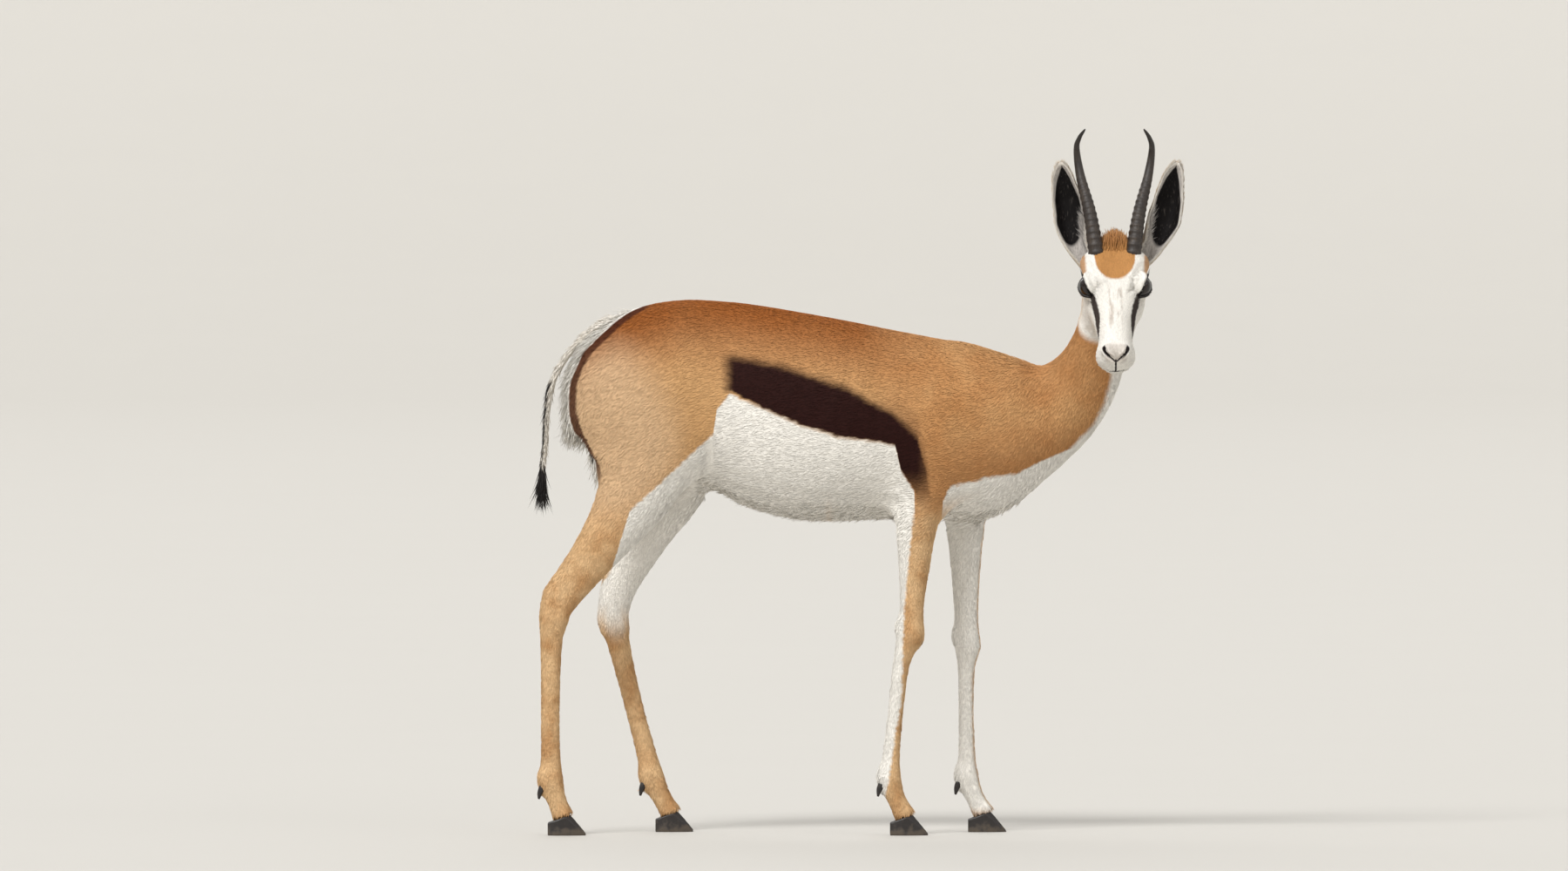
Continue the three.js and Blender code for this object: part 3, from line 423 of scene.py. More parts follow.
@dataclass(frozen=True)
class Markings:
    """The pattern of the coat, with some painted shade and highlight, the same on the skin and on the hair over
    it.
    """

    anatomy: Anatomy
    colours: Colours = Colours()
    back_line: tuple = (
        (640, 430), (661, 398), (703, 365), (789, 342), (858, 347), (944, 361), (1030, 378), (1117, 393),
        (1191, 417), (1260, 400),
    )
    stripe_top: tuple = (
        (800, 404), (838, 407), (896, 418), (971, 442), (1023, 471), (1052, 500), (1063, 540), (1070, 600),
    )
    stripe_low: tuple = (
        (800, 448), (841, 450), (875, 468), (918, 487), (960, 500), (1027, 511), (1034, 540), (1050, 563),
        (1056, 600),
    )
    white_line: tuple = (
        (655, 745), (672, 700), (679, 685), (701, 659), (714, 616), (724, 585), (759, 553), (796, 518),
        (819, 497), (823, 470), (838, 452), (875, 468), (918, 487), (960, 500), (1027, 511), (1034, 540),
        (1049, 563), (1052, 660), (1076, 660), (1082, 574), (1090, 558), (1129, 548), (1193, 541), (1240, 541),
    )
    throat_line: tuple = (
        (1278, 433), (1271, 460), (1257, 488), (1243, 502), (1228, 520), (1200, 541), (1190, 560),
    )
    rump_edge: tuple = (
        (712, 352), (701, 362), (683, 385), (665, 405), (651, 436), (650, 468), (660, 500), (672, 520),
        (684, 546), (664, 600),
    )
    fore_band: tuple = (
        (1050, 563), (1047, 600), (1044, 643), (1039, 696), (1037, 760), (1035, 802), (1023, 881), (1014, 925),
    )
    haunch_middle: tuple = (700, 505)
    haunch_reach: tuple = (0.135, 0.17)
    spot_middle: float = 0.036
    spot_reach: tuple = (0.051, 0.0325)
    face_stripe: tuple = ((0.090, 0.004), (0.110, 0.0085), (0.140, 0.0095), (0.162, 0.0050), (0.176, 0.0010))
    eye_rim: tuple = (0.0205, 0.0138)
    nostril_slot: tuple = ((0.002, 0.0014), (0.010, 0.0026), (0.017, 0.0050), (0.024, 0.0046))
    mouth_line: tuple = ((0.158, -0.058), (0.19, -0.0615), (0.215, -0.065))

    def colour(self, recipe: Recipe) -> tuple[bpy.types.NodeSocket, Value]:
        """Lays the markings out over a material.

        Args:
            recipe: the material.

        Returns:
            The colour, and a number that is 1 where the skin is bare and smooth.
        """
        place = recipe.moved(self.anatomy.shift)
        x, y, z = recipe.parts(place)
        fringe = recipe.noise(170, 3, (0.35, 1, 1)) - 0.5
        cloud = recipe.noise(7, 3) - 0.5
        ragged_z = z + fringe * 0.011 + cloud * 0.008
        ragged_x = x + fringe * 0.008 + cloud * 0.010
        body = self._body(recipe, x, y, z, ragged_x, ragged_z, cloud)
        legs, leg_share = self._legs(recipe, x, y, z, ragged_x, ragged_z)
        coat = recipe.mix(leg_share, body, legs)
        return self._head(recipe, place, x, z, fringe, coat)

    def _body(self, recipe, x, y, z, ragged_x, ragged_z, cloud) -> bpy.types.NodeSocket:
        """Returns the colour of trunk and neck."""
        c = self.colours
        below = x.along(traced(self.back_line)) - z
        base = recipe.mix((below + cloud * 0.06).rise(-0.005, 0.150), c.ridge, c.flank)
        # Paler oval on the haunch: partly the coat's own tone, partly a painted highlight where the rounded
        # haunch faces the light.
        haunch_x = (x - across(self.haunch_middle[0])) / self.haunch_reach[0]
        haunch_z = (z - height(self.haunch_middle[1])) / self.haunch_reach[1]
        haunch = (haunch_x * haunch_x + haunch_z * haunch_z + cloud * 0.5).rise(1.1, 0.15)
        base = recipe.mix(haunch * 0.85, base, c.haunch)
        front = (x + cloud * 0.08).rise(across(960), across(1090))
        patch = (recipe.noise(11, 4) + recipe.noise(31, 2) * 0.35).rise(0.42, 0.9)
        shoulder = recipe.mix(patch * 0.75, c.shoulder, c.flank)
        base = recipe.mix(front * 0.85, base, shoulder)
        # Painted shade, partly also the coat's deeper tone: the lower shoulder towards the elbow is darkened
        # with the back's red-brown.
        lower_shoulder_tone_and_shade = (z - height(540)).rise(0.10, 0.0) * front
        base = recipe.mix(lower_shoulder_tone_and_shade * 0.35, base, c.ridge)
        stripe_top = x.along(traced(self.stripe_top))
        stripe_low = x.along(traced(self.stripe_low))
        stripe = (stripe_top - ragged_z).rise(-0.010, 0.012) * (ragged_z - stripe_low).rise(-0.003, 0.005)
        stripe = stripe * ragged_x.rise(across(824), across(843)) * ragged_x.rise(across(1080), across(1050))
        stripe = stripe * z.rise(height(590), height(535))
        shade = (stripe_top - ragged_z).rise(-0.05, 0.0) * ragged_x.rise(across(1120), across(1050))
        shade = shade * ragged_x.rise(across(1000), across(1045)) * z.rise(height(600), height(540))
        base = recipe.mix(shade * 0.4, base, c.rump_line)
        base = recipe.mix(stripe, base, c.stripe)
        edge = ragged_z.along(traced(self.rump_edge, upright=True))
        behind = edge - ragged_x + (RUMP_HALF_WIDTH - abs(y)).either(-0.02) * RUMP_TURN
        rear = x.rise(across(752), across(736))
        line = (abs(behind + 0.011)).rise(0.018, 0.009) * rear * z.rise(height(575), height(525))
        base = recipe.mix(line * 0.9, base, c.rump_line)
        breast = (0.056 - abs(y)).either(0.0) * x.rise(across(1085), across(1150)) * 1.3
        white = (x.along(traced(self.white_line)) + breast - ragged_z).rise(-0.004, 0.004)
        groin = abs(y).rise(0.062, 0.040) * z.rise(height(500), height(515))
        groin = groin * x.rise(across(1120), across(1060))
        throat = (ragged_x - z.along(traced(self.throat_line, upright=True))).rise(-0.010, 0.002)
        throat = throat * z.rise(height(400), height(432)) * x.rise(across(1150), across(1190))
        patch = behind.rise(-0.002, 0.005) * rear * z.rise(height(640), height(560))
        white = white.either(groin).either(throat).either(patch)
        return recipe.mix(white, base, c.white)

    def _legs(self, recipe, x, y, z, ragged_x, ragged_z) -> tuple[bpy.types.NodeSocket, Value]:
        """Returns the colour of the legs and where it holds."""
        c = self.colours
        tone = recipe.mix(recipe.noise(26, 3).rise(0.35, 0.75), c.leg, c.leg_dark)
        inner = abs(y).rise(0.064, 0.052)
        fore = x.rise(across(940), across(960))
        right = y.rise(0.010, -0.010)
        band = (z.along(traced(self.fore_band, upright=True)) - ragged_x).rise(-0.002, 0.004) * right
        far = ragged_x.rise(across(1119), across(1113)) * y.rise(0.078, 0.066) * (1 - right)
        fore_white = inner.either(band).either(far) * fore
        hind_white = inner * (1 - fore) * z.rise(height(748), height(700))
        thigh = (x.along(traced(self.white_line)) - ragged_z).rise(-0.004, 0.004) * (1 - fore)
        thigh = thigh * z.rise(height(735), height(690))
        smudge = ((x - across(678)) / 0.012)
        lift = (z - height(706)) / 0.024
        smudge = (smudge * smudge + lift * lift).rise(1.2, 0.2) * right
        tone = recipe.mix(smudge * 0.6, tone, c.stripe)
        tone = recipe.mix(fore_white.either(hind_white).either(thigh), tone, c.white)
        low = ragged_z.rise(0.040, 0.024)
        tone = recipe.mix(low * 0.7, tone, c.leg_dark)
        fore_share = z.rise(height(560), height(610)) * fore
        hind_share = z.rise(height(560), height(640)) * (1 - fore)
        return tone, fore_share.either(hind_share)

    def _head(self, recipe, place, x, z, fringe, coat) -> tuple[bpy.types.NodeSocket, Value]:
        """Lays the face over the coat."""
        c = self.colours
        a = self.anatomy
        taken = {0: place, 1: a.head_origin}
        away = recipe.node("ShaderNodeVectorMath", {"operation": "SUBTRACT"}, taken).outputs[0]
        forward = recipe.dot(away, a.forward) + fringe * 0.004
        up = recipe.dot(away, a.upward) + fringe * 0.004
        side = abs(recipe.dot(away, Vector((1, 0, 0)))) + fringe * 0.003
        is_head = forward.rise(0.002, 0.014) * up.rise(-0.112, -0.098) * z.rise(0.70, 0.72) * x.rise(0.31, 0.33)
        # Rear of the jaw tinted pale fawn: partly the hair there, partly painted shade where the jaw turns
        # under.
        rear_jaw_tint_and_shade = forward.rise(0.085, 0.055) * up.rise(-0.030, -0.055)
        face = recipe.mix(rear_jaw_tint_and_shade * 0.75, c.white, c.cheek)
        bridge = abs(side - 0.007).rise(0.006, 0.001) * forward.rise(0.095, 0.11) * forward.rise(0.185, 0.15)
        bridge = bridge * recipe.noise(150, 2, (1, 0.25, 0.25)).rise(0.38, 0.62)
        face = recipe.mix(bridge * 0.75, face, c.nose_tint)
        spot_f = (forward - self.spot_middle) / self.spot_reach[0]
        spot_s = side / self.spot_reach[1]
        spot_s = spot_s * spot_s
        spot = (spot_f * spot_f + spot_s * (0.35 + spot_s * 0.65)).rise(1.10, 0.84) * up.rise(-0.036, -0.02)
        face = recipe.mix(spot, face, c.forehead)
        knot = side.rise(0.026, 0.018) * forward.rise(0.032, 0.018)
        face = recipe.mix(knot, face, c.topknot)
        strip = (abs(side - 0.0535 + forward * 0.05)).rise(0.0075, 0.003) * forward.rise(0.012, 0.024)
        strip = strip * forward.rise(0.072, 0.058) * up.rise(-0.040, -0.022)
        face = recipe.mix(strip * 0.85, face, c.forehead)
        nape = forward.rise(0.020, 0.006)
        face = recipe.mix(nape, face, c.shoulder)
        lean = up + 0.0165 + (forward - 0.100) * 0.36
        broad = forward.along(self.face_stripe)
        stripe = (broad - abs(lean)).rise(-0.0016, 0.0016) * forward.rise(0.084, 0.094)
        stripe = stripe * forward.rise(0.182, 0.170)
        face = recipe.mix(stripe * side.rise(0.013, 0.017) * 0.96, face, c.face_line)
        eyes = None
        for way in (-1, 1):
            near = recipe.distance(place, a.eye(way))
            long, upward, look = a.eye_axes(way)
            taken = {0: place, 1: tuple(a.eye(way))}
            from_eye = recipe.node("ShaderNodeVectorMath", {"operation": "SUBTRACT"}, taken)
            reach_a = recipe.dot(from_eye.outputs[0], long) / self.eye_rim[0]
            reach_b = recipe.dot(from_eye.outputs[0], upward) / self.eye_rim[1]
            rim = (reach_a * reach_a + reach_b * reach_b).rise(1.15, 0.90) * near.rise(0.032, 0.027)
            rim = rim * recipe.dot(from_eye.outputs[0], look).rise(-0.004, 0.002)
            eyes = rim if eyes is None else eyes.either(rim)
        face = recipe.mix(eyes, face, c.black)
        nose_f = forward.rise(0.1985, 0.2035)
        dip = nostril_gap(up, side)
        slot = side.along(self.nostril_slot)
        nostril = (slot - dip).rise(-0.0010, 0.0010) * nose_f * side.rise(0.0265, 0.0235)
        pad = up.rise(-0.050, -0.038) * forward.rise(0.197, 0.206) * side.rise(0.020, 0.013)
        face = recipe.mix(pad * 0.45, face, c.nose_tint)
        split = side.rise(0.0016, 0.0006) * nose_f * up.rise(-0.066, -0.062) * up.rise(-0.036, -0.040)
        mouth_level = forward.along(self.mouth_line)
        mouth = abs(up - mouth_level).rise(0.0028, 0.0012) * forward.rise(0.156, 0.162)
        bare = nostril.either(split).either(mouth)
        face = recipe.mix(bare, face, c.bare)
        return recipe.mix(is_head, coat, face), bare * is_head


@dataclass(frozen=True)
class CoatFinish:
    """Short hair: the markings with a streak to each hair and a soft sheen."""

    markings: Markings
    rough: float = 0.72
    tone: float = 0.26
    grain: float = 0.0006
    by_tuft: bool = False

    def material(self, name: str) -> bpy.types.Material:
        """Returns the material of the skin, or of hair if it goes by the tuft."""
        recipe = Recipe(name)
        colour, bare = self.markings.colour(recipe)
        streak = recipe.noise(620, 3, (0.16, 1, 0.45))
        fine = recipe.noise(2100, 2, (0.3, 1, 0.5))
        shade = 1 - self.tone * 0.5 + streak * self.tone
        if self.by_tuft:
            own = recipe.node("ShaderNodeAttribute", {"attribute_name": "tone"})
            shade = 0.86 + Value(recipe, own.outputs["Fac"]) * self.tone + (streak - 0.5) * 0.08
        recipe.bump(streak + fine * 0.6, 0.8, self.grain)
        rough = self.rough - bare * 0.38
        return recipe.finish(recipe.scaled(colour, shade), rough, Specular_IOR_Level=0.14)


@dataclass(frozen=True)
class HornFinish:
    """Dark ringed horn that is dull and dusty low down and polished at the tips."""

    dark: tuple = tint(38, 30, 25)
    pale: tuple = tint(92, 78, 64)

    def material(self) -> bpy.types.Material:
        """Returns the material of the horns."""
        recipe = Recipe("horn")
        _, _, z = recipe.parts(recipe.coordinates)
        grain = recipe.noise(900, 4, (1, 1, 0.12))
        worn = recipe.noise(60, 4)
        tip = z.rise(1.03, 1.09)
        colour = recipe.mix((grain * worn * 1.5).rise(0.3, 0.8) * 0.7, self.dark, self.pale)
        colour = recipe.mix(tip * 0.8, colour, tint(26, 21, 18))
        recipe.bump(grain, 0.6, 0.0007)
        return recipe.finish(colour, 0.52 - tip * 0.3, Specular_IOR_Level=0.55)


@dataclass(frozen=True)
class HoofFinish:
    """Black horn of hooves and dewclaws, scuffed towards the sole."""

    dark: tuple = tint(34, 29, 27)
    scuffed: tuple = tint(96, 84, 70)

    def material(self) -> bpy.types.Material:
        """Returns the material of the hooves."""
        recipe = Recipe("hoof")
        _, _, z = recipe.parts(recipe.coordinates)
        grain = recipe.noise(700, 4, (1, 1, 0.2))
        worn = (recipe.noise(90, 4) + z.rise(0.022, 0.0) * 0.35).rise(0.55, 0.9)
        recipe.bump(grain, 0.5, 0.0005)
        return recipe.finish(recipe.mix(worn * 0.55, self.dark, self.scuffed), 0.42 + worn * 0.3)


@dataclass(frozen=True)
class EyeFinish:
    """A dark wet eye with a wide, level pupil in a deep brown iris."""

    anatomy: Anatomy
    iris: tuple = tint(46, 24, 12)
    rim: tuple = tint(18, 10, 8)
    pupil: tuple = tint(5, 4, 5)

    def material(self, side: int) -> bpy.types.Material:
        """Returns the material of the right (-1) or left (1) eye."""
        recipe = Recipe("eye_right" if side < 0 else "eye_left")
        a = self.anatomy
        long, upward, _ = a.eye_axes(side)
        away = recipe.moved(a.shift + a.eye(side))
        run = recipe.dot(away, long)
        rise = recipe.dot(away, upward)
        ring = recipe.math("SQRT", run * run + rise * rise, 0.0)
        fibres = recipe.noise(900, 3)
        colour = recipe.mix(fibres.rise(0.3, 0.8) * 0.6, self.rim, self.iris)
        colour = recipe.mix(ring.rise(0.0115, 0.0145), colour, self.rim)
        hole_a = run / 0.0085
        hole_b = rise / 0.0048
        colour = recipe.mix((hole_a * hole_a + hole_b * hole_b).rise(1.2, 0.85), colour, self.pupil)
        return recipe.finish(colour, 0.05 + fibres * 0.02, Coat_Weight=0.3, Specular_IOR_Level=0.4)


@dataclass(frozen=True)
class EarFinish:
    """Pale grey-fawn hair on the back of the ear, black inside, with a white rim."""

    back: tuple = tint(196, 178, 154)
    grey: tuple = tint(120, 112, 106)
    inside: tuple = tint(16, 13, 13)
    lobe: tuple = tint(196, 190, 184)
    rim: tuple = tint(226, 220, 210)

    def material(self, name: str, hair: bool = False) -> bpy.types.Material:
        """Returns the material of the ear's skin or of its hair."""
        recipe = Recipe(name)
        edge = Value(recipe, recipe.node("ShaderNodeAttribute", {"attribute_name": "edge"}).outputs["Fac"])
        inner = Value(recipe, recipe.node("ShaderNodeAttribute", {"attribute_name": "inner"}).outputs["Fac"])
        low = Value(recipe, recipe.node("ShaderNodeAttribute", {"attribute_name": "low"}).outputs["Fac"])
        streak = recipe.noise(520, 3, (1, 1, 0.14))
        colour = recipe.mix(streak.rise(0.35, 0.7), self.back, self.rim)
        dark = recipe.mix(streak.rise(0.56, 0.80) * 0.35, self.inside, self.grey)
        pale = recipe.mix(streak.rise(0.35, 0.75) * 0.6, self.lobe, self.grey)
        dark = recipe.mix((low + streak * 0.3 - 0.15).rise(0.25, 0.75), dark, pale)
        colour = recipe.mix(inner, colour, dark)
        colour = recipe.mix(edge.rise(0.3, 0.8), colour, recipe.mix(streak * 0.35, self.rim, self.grey))
        recipe.bump(streak, 0.7, 0.0006)
        return recipe.finish(colour, 0.78 if hair else 0.74, Specular_IOR_Level=0.15)


@dataclass(frozen=True)
class LidFinish:
    """Black damp skin of the eyelids and lashes."""

    dark: tuple = tint(16, 12, 12)

    def material(self) -> bpy.types.Material:
        """Returns the material of the lids."""
        recipe = Recipe("lid")
        grain = recipe.noise(1500, 3)
        recipe.bump(grain, 0.4, 0.0003)
        colour = recipe.mix(grain.rise(0.4, 0.9) * 0.4, self.dark, tint(58, 44, 38))
        return recipe.finish(colour, 0.32 + grain * 0.1)


class TailColour(Enum):
    """Which hair of the tail a material is for."""

    WHITE = "tail_white"
    BLACK = "tail_black"


@dataclass(frozen=True)
class TailFinish:
    """White or black hair of the tail."""

    white: tuple = tint(238, 232, 222)
    black: tuple = tint(22, 17, 16)

    def material(self, kind: TailColour) -> bpy.types.Material:
        """Returns the material of one kind of hair."""
        recipe = Recipe(kind.value)
        streak = recipe.noise(700, 3, (1, 1, 0.12))
        base = self.white if kind is TailColour.WHITE else self.black
        other = tint(206, 184, 156) if kind is TailColour.WHITE else tint(62, 48, 42)
        recipe.bump(streak, 0.6, 0.0005)
        return recipe.finish(recipe.mix(streak.rise(0.45, 0.85) * 0.55, base, other), 0.6 + streak * 0.1)


@dataclass(frozen=True)
class FloorFinish:
    """Plain pale floor."""

    pale: tuple = tint(196, 193, 187)

    def material(self) -> bpy.types.Material:
        """Returns the material of the floor."""
        recipe = Recipe("floor")
        return recipe.finish(recipe.mix(recipe.noise(2.0, 3) * 0.12, self.pale, tint(186, 183, 177)), 0.85)


# Meshes


def object_from(bm: bmesh.types.BMesh, name: str, smooth: bool = True) -> bpy.types.Object:
    """Turns a bmesh into a shown object and frees it.

    Args:
        bm: the shape.
        name: the piece's name.
        smooth: whether its faces are shaded smoothly.

    Returns:
        The object.
    """
    bmesh.ops.recalc_face_normals(bm, faces=bm.faces)
    mesh = bpy.data.meshes.new(name)
    bm.to_mesh(mesh)
    bm.free()
    mesh.polygons.foreach_set("use_smooth", [smooth] * len(mesh.polygons))
    made = bpy.data.objects.new(name, mesh)
    bpy.context.scene.collection.objects.link(made)
    return made


def place_piece(piece: bpy.types.Object, material: bpy.types.Material) -> bpy.types.Object:
    """Gives a piece its material and the body that it rides on."""
    piece.data.materials.clear()
    piece.data.materials.append(material)
    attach(piece, "root")
    return piece


def remeshed(nodes: Sequence[str], name: str, voxel: float) -> bpy.types.Object:
    """Copies solids of the frame into one object and remeshes them as one closed surface.

    Args:
        nodes: the solids.
        name: the new piece's name.
        voxel: the size of its faces.

    Returns:
        The object.
    """
    bm = bmesh.new()
    for node in nodes:
        bm.from_mesh(bpy.data.objects[node].data)
    bmesh.ops.remove_doubles(bm, verts=bm.verts, dist=1e-6)
    mesh = bpy.data.meshes.new(name + "_rough")
    bm.to_mesh(mesh)
    bm.free()
    rough = bpy.data.objects.new(name + "_rough", mesh)
    bpy.context.scene.collection.objects.link(rough)
    modifier = rough.modifiers.new("remesh", "REMESH")
    modifier.mode = "VOXEL"
    modifier.voxel_size = voxel
    graph = bpy.context.evaluated_depsgraph_get()
    made_mesh = bpy.data.meshes.new_from_object(rough.evaluated_get(graph))
    bpy.data.objects.remove(rough)
    made_mesh.name = name
    made = bpy.data.objects.new(name, made_mesh)
    bpy.context.scene.collection.objects.link(made)
    return made


def keep_largest(bm: bmesh.types.BMesh) -> None:
    """Deletes every part of a shape that isn't joined to its largest."""
    seen: set[int] = set()
    groups: list[list[bmesh.types.BMVert]] = []
    for start in bm.verts:
        if start.index in seen:
            continue
        seen.add(start.index)
        group = [start]
        for vert in group:
            for edge in vert.link_edges:
                other = edge.other_vert(vert)
                if other.index not in seen:
                    seen.add(other.index)
                    group.append(other)
        groups.append(group)
    groups.sort(key=len)
    spare = [vert for group in groups[:-1] for vert in group]
    bmesh.ops.delete(bm, geom=spare, context="VERTS")


def points_of(mesh: bpy.types.Mesh) -> Array:
    """Returns the places of a mesh's vertices."""
    values = np.empty(len(mesh.vertices) * 3)
    mesh.vertices.foreach_get("co", values)
    return values.reshape(-1, 3)


def normals_of(mesh: bpy.types.Mesh) -> Array:
    """Returns the outward directions at a mesh's vertices."""
    values = np.empty(len(mesh.vertices) * 3)
    mesh.vertex_normals.foreach_get("vector", values)
    return values.reshape(-1, 3)


def move_points(mesh: bpy.types.Mesh, points: Array) -> None:
    """Moves a mesh's vertices to new places."""
    mesh.vertices.foreach_set("co", points.ravel())
    mesh.update()


def relaxed(
    mesh: bpy.types.Mesh, points: Array, rounds: Array, push: float = 0.5, pull: float = -0.53,
) -> Array:
    """Smooths a surface without shrinking it.

    Args:
        mesh: the mesh, for its edges.
        points: the places of its vertices.
        rounds: how many rounds each vertex takes part in.
        push: the share by which a vertex moves to its neighbours' middle.
        pull: the share by which it moves back.

    Returns:
        The smoothed places.
    """
    ends = np.empty(len(mesh.edges) * 2, dtype=np.int64)
    mesh.edges.foreach_get("vertices", ends)
    one, two = ends.reshape(-1, 2).T
    count = np.bincount(ends, minlength=len(points))[:, None].clip(1)
    moved = points.copy()
    for turn in range(int(rounds.max())):
        taking = (rounds > turn)[:, None]
        for share in (push, pull):
            total = np.empty_like(moved)
            for axis in range(3):
                total[:, axis] = (
                    np.bincount(one, weights=moved[two, axis], minlength=len(moved))
                    + np.bincount(two, weights=moved[one, axis], minlength=len(moved))
                )
            moved += taking * share * (total / count - moved)
    return moved


def smooth_path(points: Sequence[Vector], share: float) -> Vector:
    """Returns a point on a smooth curve through points, at a share of their number."""
    last = len(points) - 1
    place = min(max(share, 0.0), 1.0) * last
    index = min(int(place), last - 1)
    t = place - index
    before = points[index - 1] if index > 0 else points[0] * 2 - points[1]
    after = points[index + 2] if index + 2 <= last else points[last] * 2 - points[last - 1]
    a, b = points[index], points[index + 1]
    return 0.5 * (
        2 * a + (b - before) * t + (2 * before - 5 * a + 4 * b - after) * t * t
        + (3 * a - before - 3 * b + after) * t ** 3
    )


def swept(
    path: Callable[[float], Vector], radius: Callable[[float], Point], rows: int, around: int,
    closed: bool = False, sideways: Vector = Vector((1, 0, 0)),
) -> bmesh.types.BMesh:
    """Sweeps an oval along a path.

    Args:
        path: the middle at each share of the way.
        radius: the half width sideways and across it at each share.
        rows: the number of steps along.
        around: the number of sides.
        closed: whether the path is a loop.
        sideways: the direction that stays the oval's first axis.

    Returns:
        The shape, its ends closed.
    """
    bm = bmesh.new()
    rings = []
    steps = rows if closed else rows + 1
    for row in range(steps):
        share = row / rows
        ahead = path((share + 0.002) % 1.0 if closed else min(share + 0.002, 1.0))
        behind = path((share - 0.002) % 1.0 if closed else max(share - 0.002, 0.0))
        along = (ahead - behind).normalized()
        first = (sideways - along * sideways.dot(along)).normalized()
        second = along.cross(first)
        wide, deep = radius(share)
        middle = path(share)
        ring = []
        for step in range(around):
            turn = 2 * math.pi * step / around
            ring.append(bm.verts.new(middle + first * math.cos(turn) * wide + second * math.sin(turn) * deep))
        rings.append(ring)
    pairs = list(zip(rings, rings[1:]))
    if closed:
        pairs.append((rings[-1], rings[0]))
    for low, high in pairs:
        for step in range(around):
            after = (step + 1) % around
            bm.faces.new((low[step], low[after], high[after], high[step]))
    if not closed:
        bm.faces.new(list(reversed(rings[0])))
        bm.faces.new(rings[-1])
    return bm


# The skin


@dataclass(frozen=True)
class Form:
    """A low swelling or hollow of the body, placed on the photograph."""

    column: float
    row: float
    wide: float
    tall: float
    rise: float


@dataclass
class Skin:
    """One closed skin over trunk, neck, head and legs, a coat's depth inside the solids."""

    anatomy: Anatomy
    voxel: float = 0.0048
    trunk_depth: float = 0.0026
    leg_depth: float = 0.0014
    head_depth: float = 0.0012
    trunk_rounds: int = 70
    leg_rounds: int = 14
    head_rounds: int = 6
    opening: tuple[float, float] = EYE_OPENING
    flesh: tuple[str, ...] = (
        "torso", "neck", "head", "leg_fore_right", "leg_fore_left", "leg_hind_right", "leg_hind_left",
    )
    forms: tuple[Form, ...] = (
        Form(800, 372, 26, 14, 0.0022), Form(842, 400, 26, 30, -0.0030), Form(700, 470, 40, 60, 0.0016),
        Form(770, 500, 14, 70, -0.0022), Form(820, 520, 6, 20, -0.0050), Form(810, 520, 22, 24, 0.0020),
        Form(1075, 470, 34, 50, 0.0030),
        Form(1108, 430, 12, 44, -0.0020), Form(1045, 540, 20, 26, 0.0026), Form(1140, 520, 30, 28, 0.0028),
        Form(1020, 450, 16, 60, -0.0018), Form(1190, 470, 26, 30, -0.0018), Form(1225, 440, 14, 40, 0.0020),
        Form(720, 590, 12, 50, 0.0016), Form(690, 600, 9, 50, -0.0016), Form(640, 700, 10, 24, -0.0016),
    )
    ribs: tuple[int, ...] = (905, 932, 958, 984)

    def build(self, material: bpy.types.Material) -> bpy.types.Object:
        """Makes the skin.

        Args:
            material: its finish.

        Returns:
            The skin.
        """
        skin = remeshed(self.flesh + ("eye_right", "eye_left"), "skin", self.voxel)
        self._refine(skin)
        mesh = skin.data
        points = points_of(mesh) - np.array(self.anatomy.shift)
        points = relaxed(mesh, points, self._rounds(points))
        move_points(mesh, points)
        normals = normals_of(mesh)
        points = points + normals * (self._swell(points, normals) - self._depth(points))[:, None]
        points = self._face(points)
        move_points(mesh, points + np.array(self.anatomy.shift))
        mesh.polygons.foreach_set("use_smooth", [True] * len(mesh.polygons))
        place_piece(skin, material)
        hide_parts(*self.flesh)
        return skin

    def _refine(self, skin: bpy.types.Object) -> None:
        """Splits the faces of the head, and again those of eyes and muzzle."""
        a = self.anatomy
        bm = bmesh.new()
        bm.from_mesh(skin.data)
        bm.verts.index_update()
        keep_largest(bm)
        for near in (self._on_head, self._on_features):
            places = np.array([vert.co for vert in bm.verts]) - np.array(a.shift)
            chosen = near(places)
            bm.verts.index_update()
            edges = [edge for edge in bm.edges if all(chosen[vert.index] for vert in edge.verts)]
            bmesh.ops.subdivide_edges(bm, edges=edges, cuts=1, use_grid_fill=True)
        bmesh.ops.triangulate(bm, faces=[face for face in bm.faces if len(face.verts) > 4])
        bm.to_mesh(skin.data)
        bm.free()

    def _on_head(self, points: Array) -> Array:
        """Returns which points belong to the head."""
        forward, _, up = self.anatomy.head_values(points)
        return (forward > -0.02) & (up > -0.115) & (points[:, 2] > 0.70) & (points[:, 0] > 0.31)

    def _on_features(self, points: Array) -> Array:
        """Returns which points belong to the eyes, nostrils and mouth."""
        forward, _, _ = self.anatomy.head_values(points)
        chosen = self._on_head(points) & (forward > 0.168)
        for side in (-1, 1):
            away = np.linalg.norm(points - np.array(self.anatomy.eye(side)), axis=1)
            chosen |= away < 0.029
        return chosen

    def _shares(self, points: Array) -> tuple[Array, Array]:
        """Returns how much each point belongs to the head and to a leg."""
        forward, _, up = self.anatomy.head_values(points)
        head = ramp(forward, -0.02, 0.02) * ramp(up, -0.125, -0.10) * ramp(points[:, 2], 0.70, 0.72)
        head = head * ramp(points[:, 0], 0.30, 0.33)
        leg = 1 - ramp(points[:, 2], 0.36, 0.56)
        return head, leg

    def _rounds(self, points: Array) -> Array:
        """Returns how many rounds of smoothing each point gets."""
        head, leg = self._shares(points)
        body = self.trunk_rounds + (self.leg_rounds - self.trunk_rounds) * leg
        rounds = body + (self.head_rounds - body) * head
        return np.where(points[:, 2] < 0.005, 0, rounds)

    def _depth(self, points: Array) -> Array:
        """Returns how deep the skin lies inside the solids."""
        head, leg = self._shares(points)
        body = self.trunk_depth + (self.leg_depth - self.trunk_depth) * leg
        return body + (self.head_depth - body) * head

